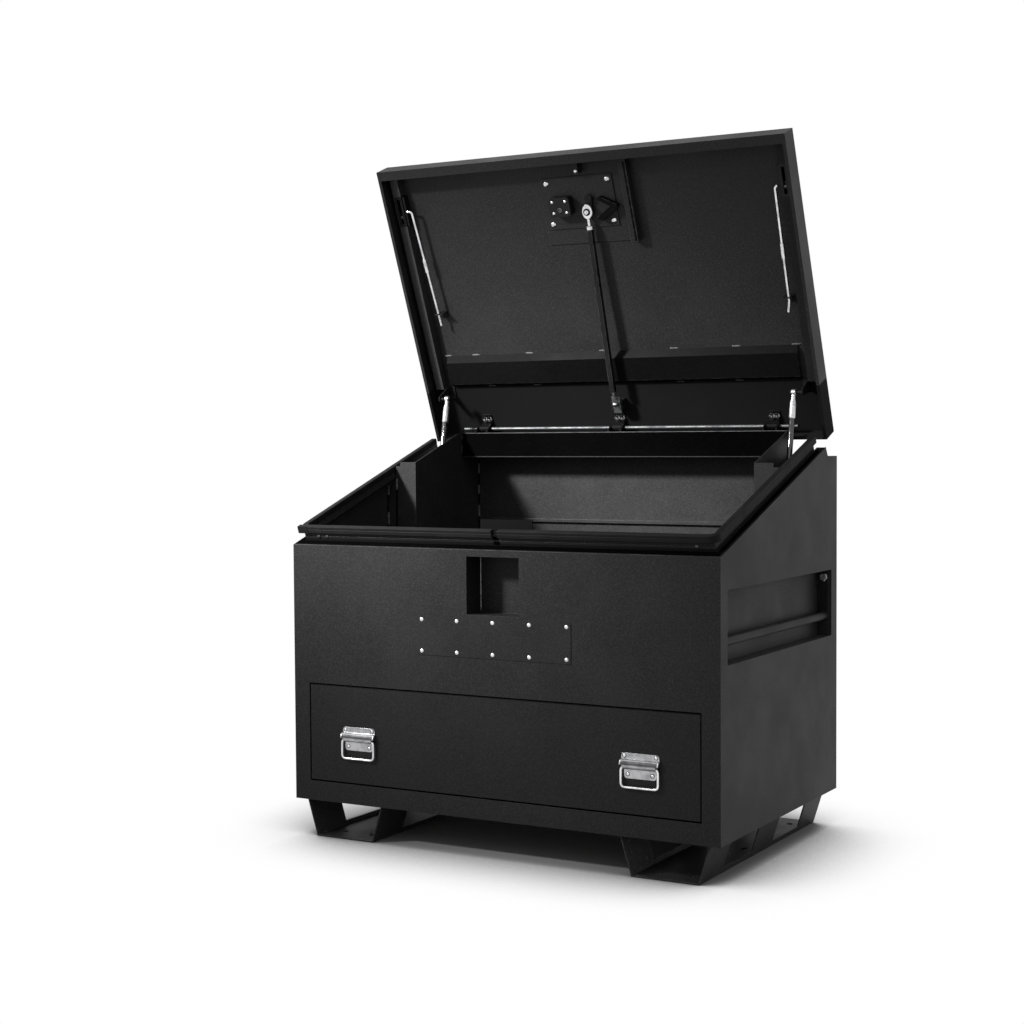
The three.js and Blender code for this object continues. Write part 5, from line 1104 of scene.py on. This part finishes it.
# A slotted latch under a thin cover sits in the gap of each side channel, with a claw on a pin.
# A cranked rod with a sleeve runs back from it through a small bracket.
TRIGGER_RADIUS = 0.00375
TRIGGER_INWARD = 0.025
TRIGGER_BEND = 0.006
TRIGGER_LINES = {
    "left": ((-0.5505, 0.679), (-0.5355, 0.677), (-0.52, 0.361), (-0.5194, 0.344)),
    "right": ((0.5505, 0.668), (0.543, 0.665), (0.538, 0.366), (0.532, 0.34))}
SLEEVE_RADIUS = 0.006
SLEEVE_TAPER = 0.001
SLEEVE_SPANS = {"left": (0.541, 0.501), "right": (0.522, 0.481)}
COVER_OUTLINE = ((0.559, 0.639), (0.552, 0.639), (0.552, 0.72), (0.559, 0.72))
COVER_INWARD = 0.003
COVER_HEIGHT = 0.0205

for side, sign in SIDES:
    cover = bmesh.new()
    slab(cover, [on_lid(sign * across, forward, COVER_INWARD) for across, forward in COVER_OUTLINE],
         LID_IN * COVER_HEIGHT)
    fit(made(f"latch_cover_{side}", cover), "lid", black_plastic, "black_coat")
    pressed(f"latch_case_{side}", f"latch_body_{side}", LOCK_SHEET, black_plastic, fold=0.4, edge=0.3)
    pressed(f"latch_hook_{side}", f"latch_claw_{side}", LOCK_SHEET, dull_zinc, fold=0.15, edge=0.15)
    pressed(f"rod_keeper_{side}", f"rod_bracket_{side}", LOCK_SHEET, handle_coat, fold=0.3)
    rod = bmesh.new()
    corners = TRIGGER_LINES[side]
    line = [on_lid(*corner, TRIGGER_INWARD) for corner in corners]
    tube(rod, bent(line, TRIGGER_BEND), TRIGGER_RADIUS)
    upper, lower = corners[1], corners[2]
    sleeve = []
    for forward in SLEEVE_SPANS[side]:
        share = (upper[1] - forward) / (upper[1] - lower[1])
        sleeve.append(on_lid(upper[0] + share * (lower[0] - upper[0]), forward, TRIGGER_INWARD))
    length = (sleeve[1] - sleeve[0]).length
    turned(rod, sleeve[0], sleeve[1] - sleeve[0], (
        (0, TRIGGER_RADIUS), (SLEEVE_TAPER, SLEEVE_RADIUS), (length - SLEEVE_TAPER, SLEEVE_RADIUS),
        (length, TRIGGER_RADIUS)), SMALL_SIDES)
    fit(made(f"trigger_wire_{side}", rod), f"trigger_{side}", chrome, "zinc", f"trigger_rod_{side}")

# A gas strut at each side holds the lid open. Its gloss black tube hangs by a plated socket from
# a ball stud on the lid, and its polished rod runs down behind the guard.
STRUT_X = 0.53
STUD_YZ = (0.260341, 1.144039)
ANCHOR_YZ = (0.1815, 0.736)
TUBE_START = 0.062
TUBE_LENGTH = 0.225 - TUBE_START
TUBE_RADIUS = 0.0075
STRUT_BORE = 0.0045
SOCKET_START = 0.006
SOCKET_RADIUS = 0.009
SOCKET_PROFILE = (
    (0, 0.0062), (0.012, 0.0066), (0.02, SOCKET_RADIUS), (0.06, SOCKET_RADIUS),
    (0.063, SOCKET_RADIUS * 0.85), (0.063, STRUT_BORE), (0.04, STRUT_BORE), (0.04, 0))
BARREL_PROFILE = (
    (0, TUBE_RADIUS * 0.9), (0.002, TUBE_RADIUS), (TUBE_LENGTH - 0.006, TUBE_RADIUS),
    (TUBE_LENGTH - 0.002, TUBE_RADIUS * 0.93), (TUBE_LENGTH, TUBE_RADIUS * 0.75),
    (TUBE_LENGTH, STRUT_BORE), (0, STRUT_BORE))
PISTON_START = 0.215
PISTON_CLEARANCE = 0.006
PISTON_RADIUS = 0.004
EYE_LENGTH = 0.012
STRUT_EYE_RADIUS = 0.009
STUD_EYE_PROFILE = (
    (0, STRUT_EYE_RADIUS * 0.8), (0.0015, STRUT_EYE_RADIUS), (EYE_LENGTH - 0.0015, STRUT_EYE_RADIUS),
    (EYE_LENGTH, STRUT_EYE_RADIUS * 0.8))
ANCHOR_EYE_PROFILE = (
    (0, STRUT_BORE), (0, STRUT_EYE_RADIUS * 0.85), (0.0012, STRUT_EYE_RADIUS),
    (EYE_LENGTH - 0.0012, STRUT_EYE_RADIUS), (EYE_LENGTH, STRUT_EYE_RADIUS * 0.85),
    (EYE_LENGTH, STRUT_BORE))
ENAMEL_TONE = grey(0.008, 0.0083)
ENAMEL_RUBBED = grey(0.03, 0.031)

black_gloss, shade = start_material("strut_enamel")
peel = grain(shade, waves=240)
rubbing = grain(shade, waves=60, detail=4, roughness=0.7).span(0.45, 0.8)
end_material(shade, {
    "Base Color": rubbing.blend(ENAMEL_TONE, ENAMEL_RUBBED),
    "Roughness": rubbing.span(0, 1, 0.12, 0.3),
    "Normal": relief(shade, peel, strength=0.12, depth=0.0003),
    "Coat Weight": rubbing.span(0, 1, 0.8, 0.4)})
strut_plate = plated(
    "strut_plate", grey(0.62, 0.63), grey(0.42, 0.43), roughness=0.3, spread=0.14, stain=0.4)
for side, sign in SIDES:
    stud = Vector((sign * STRUT_X, *STUD_YZ))
    anchor = Vector((sign * STRUT_X, *ANCHOR_YZ))
    way = (anchor - stud).normalized()
    length = (anchor - stud).length
    pressed(f"strut_stud_plate_{side}", f"strut_bracket_{side}", LOCK_SHEET, handle_coat,
            fold=0.3, edge=0.3)
    socket = bmesh.new()
    turned(socket, stud - Vector((EYE_LENGTH / 2, 0, 0)), (1, 0, 0), STUD_EYE_PROFILE, FINE_SIDES)
    turned(socket, stud + way * SOCKET_START, way, SOCKET_PROFILE, FINE_SIDES)
    fit(made(f"strut_socket_{side}", socket), f"cylinder_{side}", strut_plate, "chrome")
    barrel = bmesh.new()
    turned(barrel, stud + way * TUBE_START, way, BARREL_PROFILE, FINE_SIDES, closed=True)
    fit(made(f"strut_barrel_{side}", barrel), f"cylinder_{side}", black_gloss, "black_gloss",
        f"strut_cylinder_{side}")
    piston = bmesh.new()
    turned(piston, stud + way * PISTON_START, way, (
        (0, PISTON_RADIUS), (length - PISTON_START - PISTON_CLEARANCE, PISTON_RADIUS)))
    turned(piston, anchor - Vector((EYE_LENGTH / 2, 0, 0)), (1, 0, 0), ANCHOR_EYE_PROFILE, FINE_SIDES)
    fit(made(f"strut_piston_{side}", piston), f"piston_{side}", chrome, "chrome", f"strut_rod_{side}")

low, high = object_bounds()
